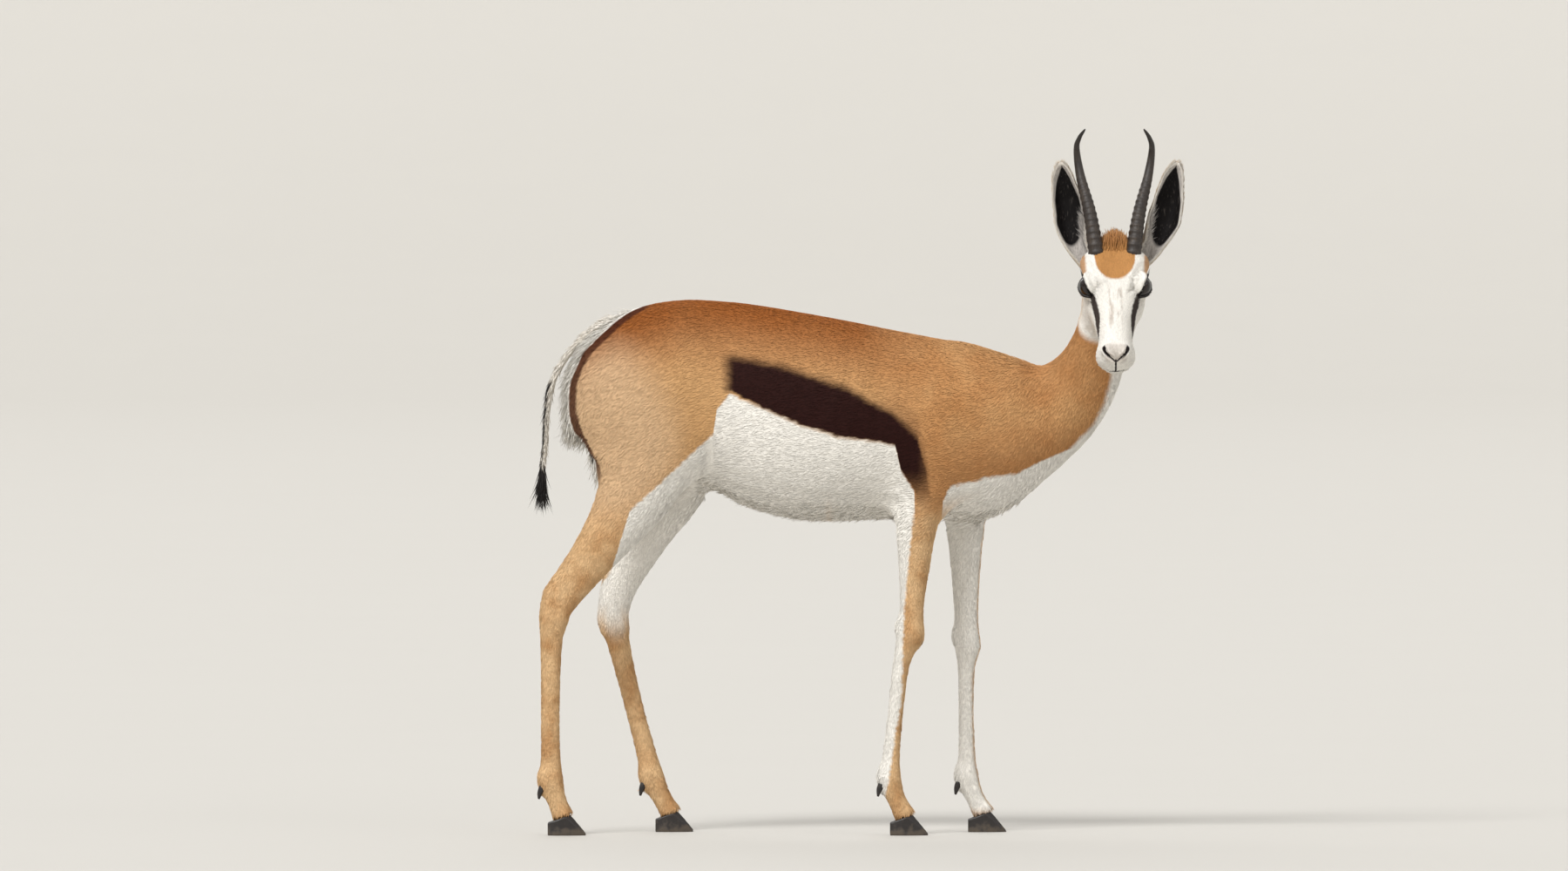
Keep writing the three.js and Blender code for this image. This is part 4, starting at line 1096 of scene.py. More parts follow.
    def _swell(self, points: Array, normals: Array) -> Array:
        """Returns how far muscles, bones and ribs stand out."""
        x, z = points[:, 0], points[:, 2]
        outward = np.abs(normals[:, 1])
        total = np.zeros(len(points))
        for form in self.forms:
            reach_x = (x - across(form.column)) / (form.wide * METRES_PER_PIXEL)
            reach_z = (z - height(form.row)) / (form.tall * METRES_PER_PIXEL)
            total += form.rise * np.exp(-(reach_x ** 2 + reach_z ** 2))
        band = ramp(z, height(560), height(520)) * (1 - ramp(z, height(440), height(400)))
        for column in self.ribs:
            lean = across(column) + (z - height(480)) * 0.35
            total += 0.0007 * np.exp(-((x - lean) / 0.009) ** 2) * band
        return total * ramp(outward, 0.2, 0.7)

    def _face(self, points: Array) -> Array:
        """Shapes the lids, nostrils, mouth, brow and cheek."""
        a = self.anatomy
        for side in (-1, 1):
            points = self._lids(points, side)
        forward, side_way, up = a.head_values(points)
        side_way = np.abs(side_way)
        on_head = self._shares(points)[0]
        inward = np.zeros(len(points))
        nose = [
            (0.201, 0.0225, -0.0165), (0.207, 0.0200, -0.0215), (0.212, 0.0160, -0.0275),
            (0.217, 0.0100, -0.0330), (0.220, 0.0050, -0.0370),
        ]
        gap = self._to_line(forward, side_way, up, nose)
        inward += 0.0062 * np.exp(-(gap / 0.0028) ** 2) * (0.4 + 0.6 * ramp(side_way, 0.006, 0.016))
        inward -= 0.0014 * np.exp(-((gap - 0.0062) / 0.0022) ** 2)
        level = np.interp(forward, *MOUTH_LEVEL)
        slit = np.exp(-((up - level) / 0.0015) ** 2) * ramp(forward, 0.156, 0.166)
        inward += 0.0030 * slit
        lip = np.exp(-((up - level - 0.005) / 0.0032) ** 2) + np.exp(-((up - level + 0.005) / 0.0032) ** 2)
        inward -= 0.0009 * lip * ramp(forward, 0.160, 0.175)
        split = np.exp(-(side_way / 0.0014) ** 2) * ramp(forward, 0.205, 0.212) * ramp(-up, 0.034, 0.040)
        inward += 0.0022 * split * (1 - ramp(-up, 0.062, 0.066))
        cheek = np.exp(-((forward - 0.128) / 0.030) ** 2 - ((up + 0.030) / 0.010) ** 2)
        inward += 0.0026 * cheek
        centre = np.array(a.head(0.16, 0, -0.045))
        away = points - centre
        reach = np.where((forward > 0.15)[:, None], away, away * np.array((1, 0.2, 0.2)))
        ways = reach / np.linalg.norm(reach, axis=1)[:, None]
        return points - ways * (inward * on_head)[:, None]

    def _to_line(self, forward: Array, side: Array, up: Array, line: Sequence[Triple]) -> Array:
        """Returns how far each point of the head is from a line given in the head's directions."""
        places = np.stack((forward, side, up), axis=1)
        best = np.full(len(places), 1.0)
        for start, end in zip(line, line[1:]):
            a, b = np.array(start), np.array(end)
            way = b - a
            share = np.clip((places - a) @ way / (way @ way), 0, 1)
            best = np.minimum(best, np.linalg.norm(places - a - share[:, None] * way, axis=1))
        return best

    def _lids(self, points: Array, side: int) -> Array:
        """Opens the skin over one eye and raises the lids round it."""
        a = self.anatomy
        middle = np.array(a.eye(side))
        long, upward, look = (np.array(way) for way in a.eye_axes(side))
        away = points - middle
        reach = np.linalg.norm(away, axis=1)
        run, rise, out = away @ long, away @ upward, away @ look
        scale = a.eye_radius / np.maximum(reach, 1e-6)
        run, rise = run * scale, rise * scale
        edge = almond_share(run, rise, self.opening)
        near = (reach < 0.036) & (out > -0.002)
        lid_level = a.eye_radius + 0.0010 + 0.0013 * np.exp(-((edge - 1.20) / 0.13) ** 2)
        lid_level += 0.0022 * np.exp(-((edge - 1.25) / 0.20) ** 2) * ramp(rise, 0.002, 0.012)
        lid_level -= 0.0016 * np.exp(-((edge - 1.55) / 0.10) ** 2)
        sunk = a.eye_radius - 0.0045
        inside = 1 - ramp(edge, 0.90, 1.02)
        collar = 1 - ramp(edge, 1.45, 1.95)
        target = reach + (lid_level - reach) * collar
        target = target + (sunk - target) * inside
        ways = away / np.maximum(reach, 1e-6)[:, None]
        moved = middle + ways * target[:, None]
        return np.where(near[:, None], moved, points)


def almond_share(run: Array, rise: Array, opening: tuple[float, float]) -> Array:
    """Returns 1 on the edge of an eye's opening, less inside it and more outside.

    Args:
        run: the place along the opening, forward positive.
        rise: the place across it, upward positive.
        opening: its half length and half height.

    Returns:
        The share of the way out to the edge.
    """
    half, tall = opening
    drop = rise + 0.22 * tall * np.clip(run / half, -1, 1.4) ** 2 * np.sign(run)
    high = np.where(drop > 0, tall, tall * 0.86)
    return (np.abs(run / half) ** 1.75 + np.abs(drop / high) ** 1.75) ** (1 / 1.75)


# The coat


@dataclass(frozen=True)
class Patch:
    """A part of the coat that is one piece."""

    name: str
    spacing: float
    long: float
    wide: float
    lift: float
    thick: float


@dataclass
class Coat:
    """Short hair in closed tufts over the whole skin, laid as it grows."""

    anatomy: Anatomy
    seed: int = 11
    roundness: float = 0.30
    patches: tuple[Patch, ...] = (
        Patch("coat_rump", 0.00250, 0.0120, 0.0018, 0.0013, 0.0005),
        Patch("coat_loin", 0.00250, 0.0120, 0.0018, 0.0012, 0.0005),
        Patch("coat_ribs", 0.00250, 0.0115, 0.0018, 0.0012, 0.0005),
        Patch("coat_shoulder", 0.00250, 0.0115, 0.0018, 0.0012, 0.0005),
        Patch("coat_neck", 0.00235, 0.0105, 0.0017, 0.0013, 0.0005),
        Patch("coat_head", 0.00165, 0.0055, 0.0011, 0.0008, 0.0004),
        Patch("coat_legs_fore", 0.00215, 0.0075, 0.0014, 0.0010, 0.0004),
        Patch("coat_legs_hind", 0.00215, 0.0075, 0.0014, 0.0010, 0.0004),
    )

    def build(self, skin: bpy.types.Object, material: bpy.types.Material) -> list[bpy.types.Object]:
        """Grows the coat.

        Args:
            skin: the skin that it grows from.
            material: the hair's finish.

        Returns:
            The coat's pieces.
        """
        mesh = skin.data
        mesh.calc_loop_triangles()
        corners = np.empty(len(mesh.loop_triangles) * 3, dtype=np.int64)
        mesh.loop_triangles.foreach_get("vertices", corners)
        corners = corners.reshape(-1, 3)
        points = points_of(mesh) - np.array(self.anatomy.shift)
        normals = normals_of(mesh)
        a, b, c = (points[corners[:, k]] for k in range(3))
        areas = np.linalg.norm(np.cross(b - a, c - a), axis=1) / 2
        middles = (a + b + c) / 3
        owners = self._owner(middles)
        pieces = []
        for index, patch in enumerate(self.patches):
            rng = np.random.default_rng(self.seed + index)
            share = np.where(owners == index, areas, 0)
            count = int(share.sum() / patch.spacing ** 2)
            chosen = rng.choice(len(share), size=count, p=share / share.sum())
            roots, ways = self._spots(rng, corners[chosen], points, normals)
            free = self._hairy(roots)
            pieces.append(self._grow(patch, rng, roots[free], ways[free], material))
            log.info("%s: %d tufts", patch.name, int(free.sum()))
        return pieces

    def _owner(self, points: Array) -> Array:
        """Returns the number of the patch that each point belongs to."""
        x, z = points[:, 0], points[:, 2]
        forward, _, up = self.anatomy.head_values(points)
        owner = np.full(len(points), 2)
        owner[x < across(930)] = 1
        owner[x < across(775)] = 0
        owner[x > across(1040)] = 3
        owner[(x > across(1165)) & (z > height(560))] = 4
        owner[(forward > 0.0) & (up > -0.112) & (z > 0.70) & (x > 0.31)] = 5
        owner[(z < height(615)) & (x > across(960))] = 6
        owner[(z < height(615)) & (x < across(960))] = 7
        return owner

    def _spots(
        self, rng: np.random.Generator, chosen: Array, points: Array, normals: Array,
    ) -> tuple[Array, Array]:
        """Returns random places on triangles and the outward directions there."""
        one = np.sqrt(rng.random(len(chosen)))
        two = rng.random(len(chosen))
        shares = np.stack((1 - one, one * (1 - two), one * two), axis=1)
        roots = sum(shares[:, k, None] * points[chosen[:, k]] for k in range(3))
        ways = sum(shares[:, k, None] * normals[chosen[:, k]] for k in range(3))
        return roots, ways / np.linalg.norm(ways, axis=1)[:, None]

    def _hairy(self, roots: Array) -> Array:
        """Returns which places grow hair: not the eyes, nostrils, mouth or soles."""
        forward, side, up = self.anatomy.head_values(roots)
        side = np.abs(side)
        bare = roots[:, 2] < 0.026
        level = np.interp(forward, *MOUTH_LEVEL)
        bare |= (forward > 0.150) & (np.abs(up - level) < 0.0024) & (roots[:, 0] > 0.31)
        dip = nostril_gap(up, side)
        bare |= (forward > 0.197) & (dip < 0.0056) & (side < 0.027)
        for way in (-1, 1):
            away = roots - np.array(self.anatomy.eye(way))
            long, upward, look = (np.array(v) for v in self.anatomy.eye_axes(way))
            edge = almond_share(away @ long, away @ upward, EYE_OPENING)
            bare |= (edge < 1.22) & (np.linalg.norm(away, axis=1) < 0.03) & (away @ look > 0)
        return ~bare

    def lie(self, roots: Array) -> Array:
        """Returns the direction in which the hair lies at each place, before it is laid flat."""
        x, y, z = roots.T
        forward, _, up = self.anatomy.head_values(roots)
        trunk = np.array((-1.0, 0.0, -0.22))
        haunch = np.array((-0.72, 0.0, -0.70))
        neck = np.array((-0.45, 0.18, -0.88))
        leg = np.array((-0.12, 0.0, -1.0))
        face = -np.array(self.anatomy.forward) - 0.25 * np.array(self.anatomy.upward)
        ways = np.tile(trunk, (len(roots), 1))
        head = ramp(forward, -0.01, 0.02) * ramp(up, -0.12, -0.10) * ramp(z, 0.70, 0.72) * ramp(x, 0.30, 0.33)
        for way, share in (
            (haunch, 1 - ramp(x, -0.36, -0.18)),
            (neck, ramp(x, 0.13, 0.30)),
            (leg, 1 - ramp(z, 0.38, 0.56)),
            (face, head),
        ):
            ways = ways + (way - ways) * share[:, None]
        swirl = 0.13 * np.sin(21 * x + 2.2 * np.sin(15 * z)) * np.cos(17 * z + 9 * y)
        ways[:, 2] += swirl
        return ways

    def _grow(
        self, patch: Patch, rng: np.random.Generator, roots: Array, ways: Array, material: bpy.types.Material,
    ) -> bpy.types.Object:
        """Makes one piece of the coat from five-cornered closed tufts."""
        lay = self.lie(roots)
        lay = lay - ways * np.sum(lay * ways, axis=1)[:, None]
        lay += 1e-6
        lay /= np.linalg.norm(lay, axis=1)[:, None]
        beside = np.cross(ways, lay)
        turn = rng.normal(0, 0.11, len(roots))[:, None]
        along = lay * np.cos(turn) + beside * np.sin(turn)
        beside = np.cross(ways, along)
        size = rng.uniform(0.72, 1.22, len(roots))[:, None]
        long, wide = patch.long * size, patch.wide * size / 2
        lift = patch.lift * rng.uniform(0.55, 1.25, len(roots))[:, None]
        bend = beside * rng.normal(0, 0.10, len(roots))[:, None] * long
        middle = roots + along * long * 0.45 + ways * lift * 0.62
        corners = np.stack((
            roots - ways * 0.0008,
            middle + beside * wide,
            middle - beside * wide,
            middle + ways * patch.thick,
            roots + along * long + ways * lift + bend,
        ), axis=1)
        corners += np.array(self.anatomy.shift)
        faces = np.array(((0, 3, 1), (0, 2, 3), (0, 1, 2), (4, 1, 3), (4, 3, 2), (4, 2, 1)))
        piece = mesh_of_tufts(patch.name, corners, faces)
        leans = np.stack((
            ways, ways + beside * self.roundness, ways - beside * self.roundness, ways, ways + along * 0.12,
        ), axis=1).reshape(-1, 3)
        leans /= np.linalg.norm(leans, axis=1)[:, None]
        piece.data.normals_split_custom_set_from_vertices(leans)
        tones = np.repeat(rng.random(len(roots)), 5)
        piece.data.attributes.new("tone", "FLOAT", "POINT").data.foreach_set("value", tones)
        lay_uvs(piece.data, chart(roots), corners.shape[1], faces)
        return place_piece(piece, material)


def mesh_of_tufts(name: str, corners: Array, faces: Array) -> bpy.types.Object:
    """Makes one object of many alike closed tufts.

    Args:
        name: the object's name.
        corners: the places of each tuft's corners.
        faces: the three corners of each face of a tuft.

    Returns:
        The object.
    """
    tufts, count = corners.shape[:2]
    mesh = bpy.data.meshes.new(name)
    mesh.vertices.add(tufts * count)
    mesh.vertices.foreach_set("co", corners.ravel())
    loops = (faces[None] + count * np.arange(tufts)[:, None, None]).ravel()
    mesh.loops.add(len(loops))
    mesh.loops.foreach_set("vertex_index", loops)
    mesh.polygons.add(len(loops) // 3)
    mesh.polygons.foreach_set("loop_start", np.arange(0, len(loops), 3))
    mesh.polygons.foreach_set("use_smooth", [True] * (len(loops) // 3))
    mesh.update(calc_edges=True)
    made = bpy.data.objects.new(name, mesh)
    bpy.context.scene.collection.objects.link(made)
    return made


def chart(roots: Array) -> Array:
    """Unrolls the skin: trunk, neck and head, and each leg, on a part of the sheet of their own.

    Args:
        roots: places on the skin, in the model's own place.

    Returns:
        A place on the sheet for each.
    """
    x, y, z = roots.T
    turn = np.arctan2(y, z - 0.66) / (2 * np.pi) + 0.5
    sheet = np.stack((0.02 + 0.62 * np.clip((x + 0.52) / 0.86, 0, 1), 0.02 + 0.56 * turn), axis=1)
    upper = (z > 0.70) & (x > 0.27)
    round_neck = np.arctan2(y + 0.06, x - 0.39) / (2 * np.pi) + 0.5
    up_neck = np.clip((z - 0.70) / 0.27, 0, 1)
    sheet[upper] = np.stack((0.02 + 0.62 * round_neck, 0.60 + 0.38 * up_neck), axis=1)[upper]
    for index, (fore, left) in enumerate(((True, False), (True, True), (False, False), (False, True))):
        chosen = (z < 0.48) & ((x > -0.05) == fore) & ((y > 0) == left)
        middle = (0.165 if left else 0.06) if fore else (-0.36 if left else -0.45)
        round_leg = np.arctan2(y - (0.067 if left else -0.07), x - middle) / (2 * np.pi) + 0.5
        up_leg = np.clip(z / 0.48, 0, 1)
        place = np.stack((0.66 + 0.08 * (index + round_leg * 0.95), 0.02 + 0.94 * up_leg), axis=1)
        sheet[chosen] = place[chosen]
    return sheet


def lay_uvs(mesh: bpy.types.Mesh, places: Array, corners: int, faces: Array, size: float = 0.003) -> None:
    """Gives each tuft a small patch of the sheet at its root's place.

    Args:
        mesh: the tufts.
        places: each root's place on the sheet.
        corners: how many corners a tuft has.
        faces: the corners of each face of a tuft.
        size: how wide a patch is.
    """
    share = np.arange(corners) / max(corners - 1, 1)
    spread = np.stack((share - 0.5, np.abs(share - 0.5)), axis=1) * size
    uvs = places[:, None, :] + spread[None]
    layer = mesh.uv_layers.new(name="OFBake")
    layer.data.foreach_set("uv", uvs[:, faces.ravel()].ravel())


@dataclass(frozen=True)
class LockShape:
    """The size of one kind of longer lock."""

    long: float
    wide: float
    thick: float
    bend: float = 0.3


def grow_locks(
    name: str, roots: Array, ways: Array, droop: Array, shape: LockShape, seed: int, shift: Vector,
) -> bpy.types.Object:
    """Makes curved, tapered, closed locks of longer hair.

    Args:
        name: the piece's name.
        roots: where each lock starts, in the model's own place.
        ways: the direction in which it starts.
        droop: the direction towards which it bends.
        shape: the lock's size.
        seed: for its variation.
        shift: from the model's own place to the frame.

    Returns:
        The piece.
    """
    rng = np.random.default_rng(seed)
    count = len(roots)
    ways = ways / np.linalg.norm(ways, axis=1)[:, None]
    long = shape.long * rng.uniform(0.7, 1.2, count)[:, None]
    across_way = np.cross(ways, droop + 1e-4)
    across_way /= np.linalg.norm(across_way, axis=1)[:, None]
    flat = np.cross(across_way, ways)
    bend = shape.bend * rng.uniform(0.6, 1.3, count)[:, None]
    sway = across_way * rng.normal(0, 0.14, count)[:, None]
    rings = []
    for share, fat in ((0.0, 0.55), (0.3, 1.0), (0.65, 0.72)):
        middle = roots + long * (ways * share + (droop * bend + sway) * share ** 2)
        for turn in range(3):
            angle = 2 * math.pi * turn / 3
            side = across_way * math.cos(angle) * shape.wide + flat * math.sin(angle) * shape.thick
            rings.append(middle + side * fat / 2)
    rings.append(roots + long * (ways + droop * bend + sway))
    corners = np.stack(rings, axis=1) + np.array(shift)
    faces = [(0, 2, 1)]
    for low in (0, 3):
        for turn in range(3):
            after = (turn + 1) % 3
            faces.append((low + turn, low + after, low + 3 + after))
            faces.append((low + turn, low + 3 + after, low + 3 + turn))
    faces += [(6 + turn, 6 + (turn + 1) % 3, 9) for turn in range(3)]
    table = np.array(faces)
    piece = mesh_of_tufts(name, corners, table)
    tones = np.repeat(rng.random(count), corners.shape[1])
    piece.data.attributes.new("tone", "FLOAT", "POINT").data.foreach_set("value", tones)
    lay_uvs(piece.data, chart(roots), corners.shape[1], table)
    return piece


@dataclass
class LongHair:
    """Longer hair: the topknot, the white fan of the rump and the fringe of belly and brisket."""

    anatomy: Anatomy
    topknot: LockShape = LockShape(0.021, 0.0022, 0.0012, 0.35)
    rump: LockShape = LockShape(0.027, 0.0026, 0.0010, 0.30)
    fringe: LockShape = LockShape(0.015, 0.0026, 0.0010, 0.3)
    seed: int = 5

    def build(self, skin: bpy.types.Object, material: bpy.types.Material) -> list[bpy.types.Object]:
        """Grows the longer hair from the skin.

        Args:
            skin: the skin.
            material: the hair's finish.

        Returns:
            The pieces.
        """
        points = points_of(skin.data) - np.array(self.anatomy.shift)
        normals = normals_of(skin.data)
        rng = np.random.default_rng(self.seed)
        forward, side, up = self.anatomy.head_values(points)
        x, y, z = points.T
        knot = (np.abs(side) < 0.021) & (forward < 0.034) & (forward > -0.012) & (up > -0.02) & (z > 0.88)
        edge = np.interp(z, *zip(*traced(Markings(self.anatomy).rump_edge, upright=True)))
        fan = x < edge + RUMP_TURN * (RUMP_HALF_WIDTH - np.abs(y)) - 0.004
        fan &= (z > height(560)) & (z < height(356))
        below = (normals[:, 2] < -0.75) & (z > 0.45) & (z < 0.58) & (x > -0.25) & (x < 0.26)
        kinds = (
            ("topknot", knot, 620, self.topknot, np.array((0, 0.35, 1.0)), np.array((0, 1.0, 0.1))),
            ("rump_fan", fan, 3000, self.rump, np.array((-0.5, 0, -0.8)), np.array((0, 0, -1.0))),
            ("belly_fringe", below, 2600, self.fringe, np.array((-1.0, 0, -0.15)), np.array((0, 0, -1.0))),
        )
        pieces = []
        for name, chosen, count, shape, way, droop in kinds:
            where = np.flatnonzero(chosen)
            picked = rng.choice(where, size=min(count, len(where)), replace=False)
            roots, outward = points[picked], normals[picked]
            flat = way - outward * (outward @ way)[:, None]
            lean = {"topknot": 0.55, "rump_fan": 0.34}.get(name, 0.16)
            ways = flat + outward * lean + rng.normal(0, 0.10, roots.shape)
            droops = np.tile(droop * 0.5, (len(roots), 1)) - outward * 0.1
            piece = grow_locks(name, roots - outward * 0.001, ways, droops, shape, 31, self.anatomy.shift)
            pieces.append(place_piece(piece, material))
        return pieces


# Eyes and lids


@dataclass
class Eyes:
    """Each eye: a ball with a bulging cornea, its lid margins and its lashes."""

    anatomy: Anatomy
    opening: tuple[float, float] = EYE_OPENING
    cornea: float = 0.0009
    margin: float = 0.0011
    lashes: int = 30

    def build(self, finish: EyeFinish, lid: bpy.types.Material) -> list[bpy.types.Object]:
        """Makes both eyes.

        Args:
            finish: the finish of the balls.
            lid: the material of lids and lashes.

        Returns:
            The pieces.
        """
        pieces = []
        for side, name in ((-1, "right"), (1, "left")):
            ball = place_piece(self._ball(side, f"eyeball_{name}"), finish.material(side))
            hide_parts(f"eye_{name}")
            rim = place_piece(self._rim(side, f"eyelid_{name}"), lid)
            lashes = place_piece(self._lashes(side, f"lashes_{name}"), lid)
            pieces += [ball, rim, lashes]
        return pieces

    def _ball(self, side: int, name: str) -> bpy.types.Object:
        """Makes one eyeball."""
        a = self.anatomy
        middle = a.eye(side) + a.shift
        look = a.look(side)
        bm = bmesh.new()
        bmesh.ops.create_uvsphere(bm, u_segments=48, v_segments=32, radius=a.eye_radius - 0.0006)
        for vert in bm.verts:
            way = vert.co.normalized()
            swell = max(0.0, way.dot(look) - 0.62) / 0.38
            vert.co = middle + vert.co + way * self.cornea * (swell * swell * (3 - 2 * swell))
        return object_from(bm, name)

    def edge_point(self, side: int, share: float, reach: float) -> Vector:
        """Returns a point on the edge of an eye's opening.

        Args:
            side: right (-1) or left (1).
            share: the share of the way round, from the front corner over the top.
            reach: its distance from the eye's middle.

        Returns:
            The point, in the frame.
        """
        a = self.anatomy
        long, upward, look = a.eye_axes(side)
        turn = 2 * math.pi * share
        cosine, sine = math.cos(turn), math.sin(turn)
        low, high = 0.0, 0.03
        for _ in range(24):
            size = (low + high) / 2
            run, rise = np.array([size * cosine]), np.array([size * sine])
            if almond_share(run, rise, self.opening)[0] < 1:
                low = size
            else:
                high = size
        run, rise = low * cosine, low * sine
        out = math.sqrt(max(a.eye_radius ** 2 - run * run - rise * rise, 1e-8))
        way = (long * run + upward * rise + look * out).normalized()
        return a.eye(side) + a.shift + way * reach

    def _rim(self, side: int, name: str) -> bpy.types.Object:
        """Makes the dark margin of both lids."""
        reach = self.anatomy.eye_radius + 0.0004

        def path(share: float) -> Vector:
            """Returns the middle of the margin."""
            return self.edge_point(side, share, reach)

        def radius(share: float) -> Point:
            """Returns the margin's half widths, thicker above."""
            above = 0.5 + 0.5 * math.sin(2 * math.pi * share)
            return self.margin * (0.85 + 0.35 * above), self.margin * (0.85 + 0.25 * above)

        look = self.anatomy.look(side)
        return object_from(swept(path, radius, 64, 10, True, look), name)

    def _lashes(self, side: int, name: str) -> bpy.types.Object:
        """Makes the lashes of the upper lid."""
        look = self.anatomy.look(side)
        bm = bmesh.new()
        for index in range(self.lashes):
            share = 0.10 + 0.36 * index / (self.lashes - 1)
            root = self.edge_point(side, share, self.anatomy.eye_radius + 0.0012)
            out = (root - self.anatomy.eye(side) - self.anatomy.shift).normalized()
            rise = (out - look * out.dot(look)).normalized()
            long = 0.0075 + 0.0025 * math.sin(9.7 * index)
            bend, tip = (out * 0.95 + rise * 0.25) * long * 0.5, (out * 0.9 + rise * 0.7) * long
            points = [root, root + bend, root + tip]

            def path(share_in: float, points: list = points) -> Vector:
                """Returns the middle of one lash."""
                return smooth_path(points, share_in)

            lash = swept(path, lambda t: (0.00042 * (1.05 - t), 0.00042 * (1.05 - t)), 4, 4)
            mesh = bpy.data.meshes.new("lash")
            lash.to_mesh(mesh)
            lash.free()
            bm.from_mesh(mesh)
            bpy.data.meshes.remove(mesh)
        return object_from(bm, name)


# Horns, ears, hooves and tail


@dataclass
class Horns:
    """Slim ringed horns that lean back and out and hook in at the tips."""

    anatomy: Anatomy
    root: Triple = (0.033, 0.026, 0.006)
    radius: float = 0.0132
    tip: float = 0.0010
    rings: int = 15
    ringed: float = 0.66
    offsets: tuple[Triple, ...] = (
        (0, 0.004, -0.018), (0.004, 0.002, 0.012), (0.013, 0.020, 0.068), (0.027, 0.044, 0.124),
        (0.033, 0.048, 0.166), (0.029, 0.040, 0.184), (0.020, 0.030, 0.198),
    )

    def build(self, material: bpy.types.Material) -> list[bpy.types.Object]:
        """Makes both horns."""
        pieces = []
        for side, name in ((-1, "right"), (1, "left")):
            forward, out, up = self.root
            root = self.anatomy.head(forward, side * out, up) + self.anatomy.shift
            points = [root + Vector((side * x, y, z)) for x, y, z in self.offsets]
            horn = object_from(swept(self._even(points), self._girth, 190, 28), f"horn_sheath_{name}")
            place_piece(horn, material)
            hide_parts(f"horn_{name}")
            pieces.append(horn)
        return pieces

    def _even(self, points: list[Vector]) -> Callable[[float], Vector]:
        """Returns a path that runs at one speed through points."""
        samples = [smooth_path(points, step / 240) for step in range(241)]
        lengths = [0.0]
        for one, two in zip(samples, samples[1:]):
            lengths.append(lengths[-1] + (two - one).length)

        def path(share: float) -> Vector:
            """Returns the middle of the horn at a share of its length."""
            goal = share * lengths[-1]
            place = float(np.interp(goal, lengths, range(241)))
            low = min(int(place), 239)
            return samples[low].lerp(samples[low + 1], place - low)

        return path

    def _girth(self, share: float) -> Point:
        """Returns the horn's half widths at a share of its length."""
        taper = self.radius * (1 - share) ** 0.62 + self.tip
        fade = 1 - min(max((share - self.ringed + 0.10) / 0.10, 0), 1)
        wave = math.sin(share / self.ringed * self.rings * 2 * math.pi)
        ridge = (0.065 * max(wave, -0.35)) * fade
        dry = 0.012 * math.sin(share * 610) * fade
        size = taper * (1 + ridge + dry)
        return size * 0.92, size


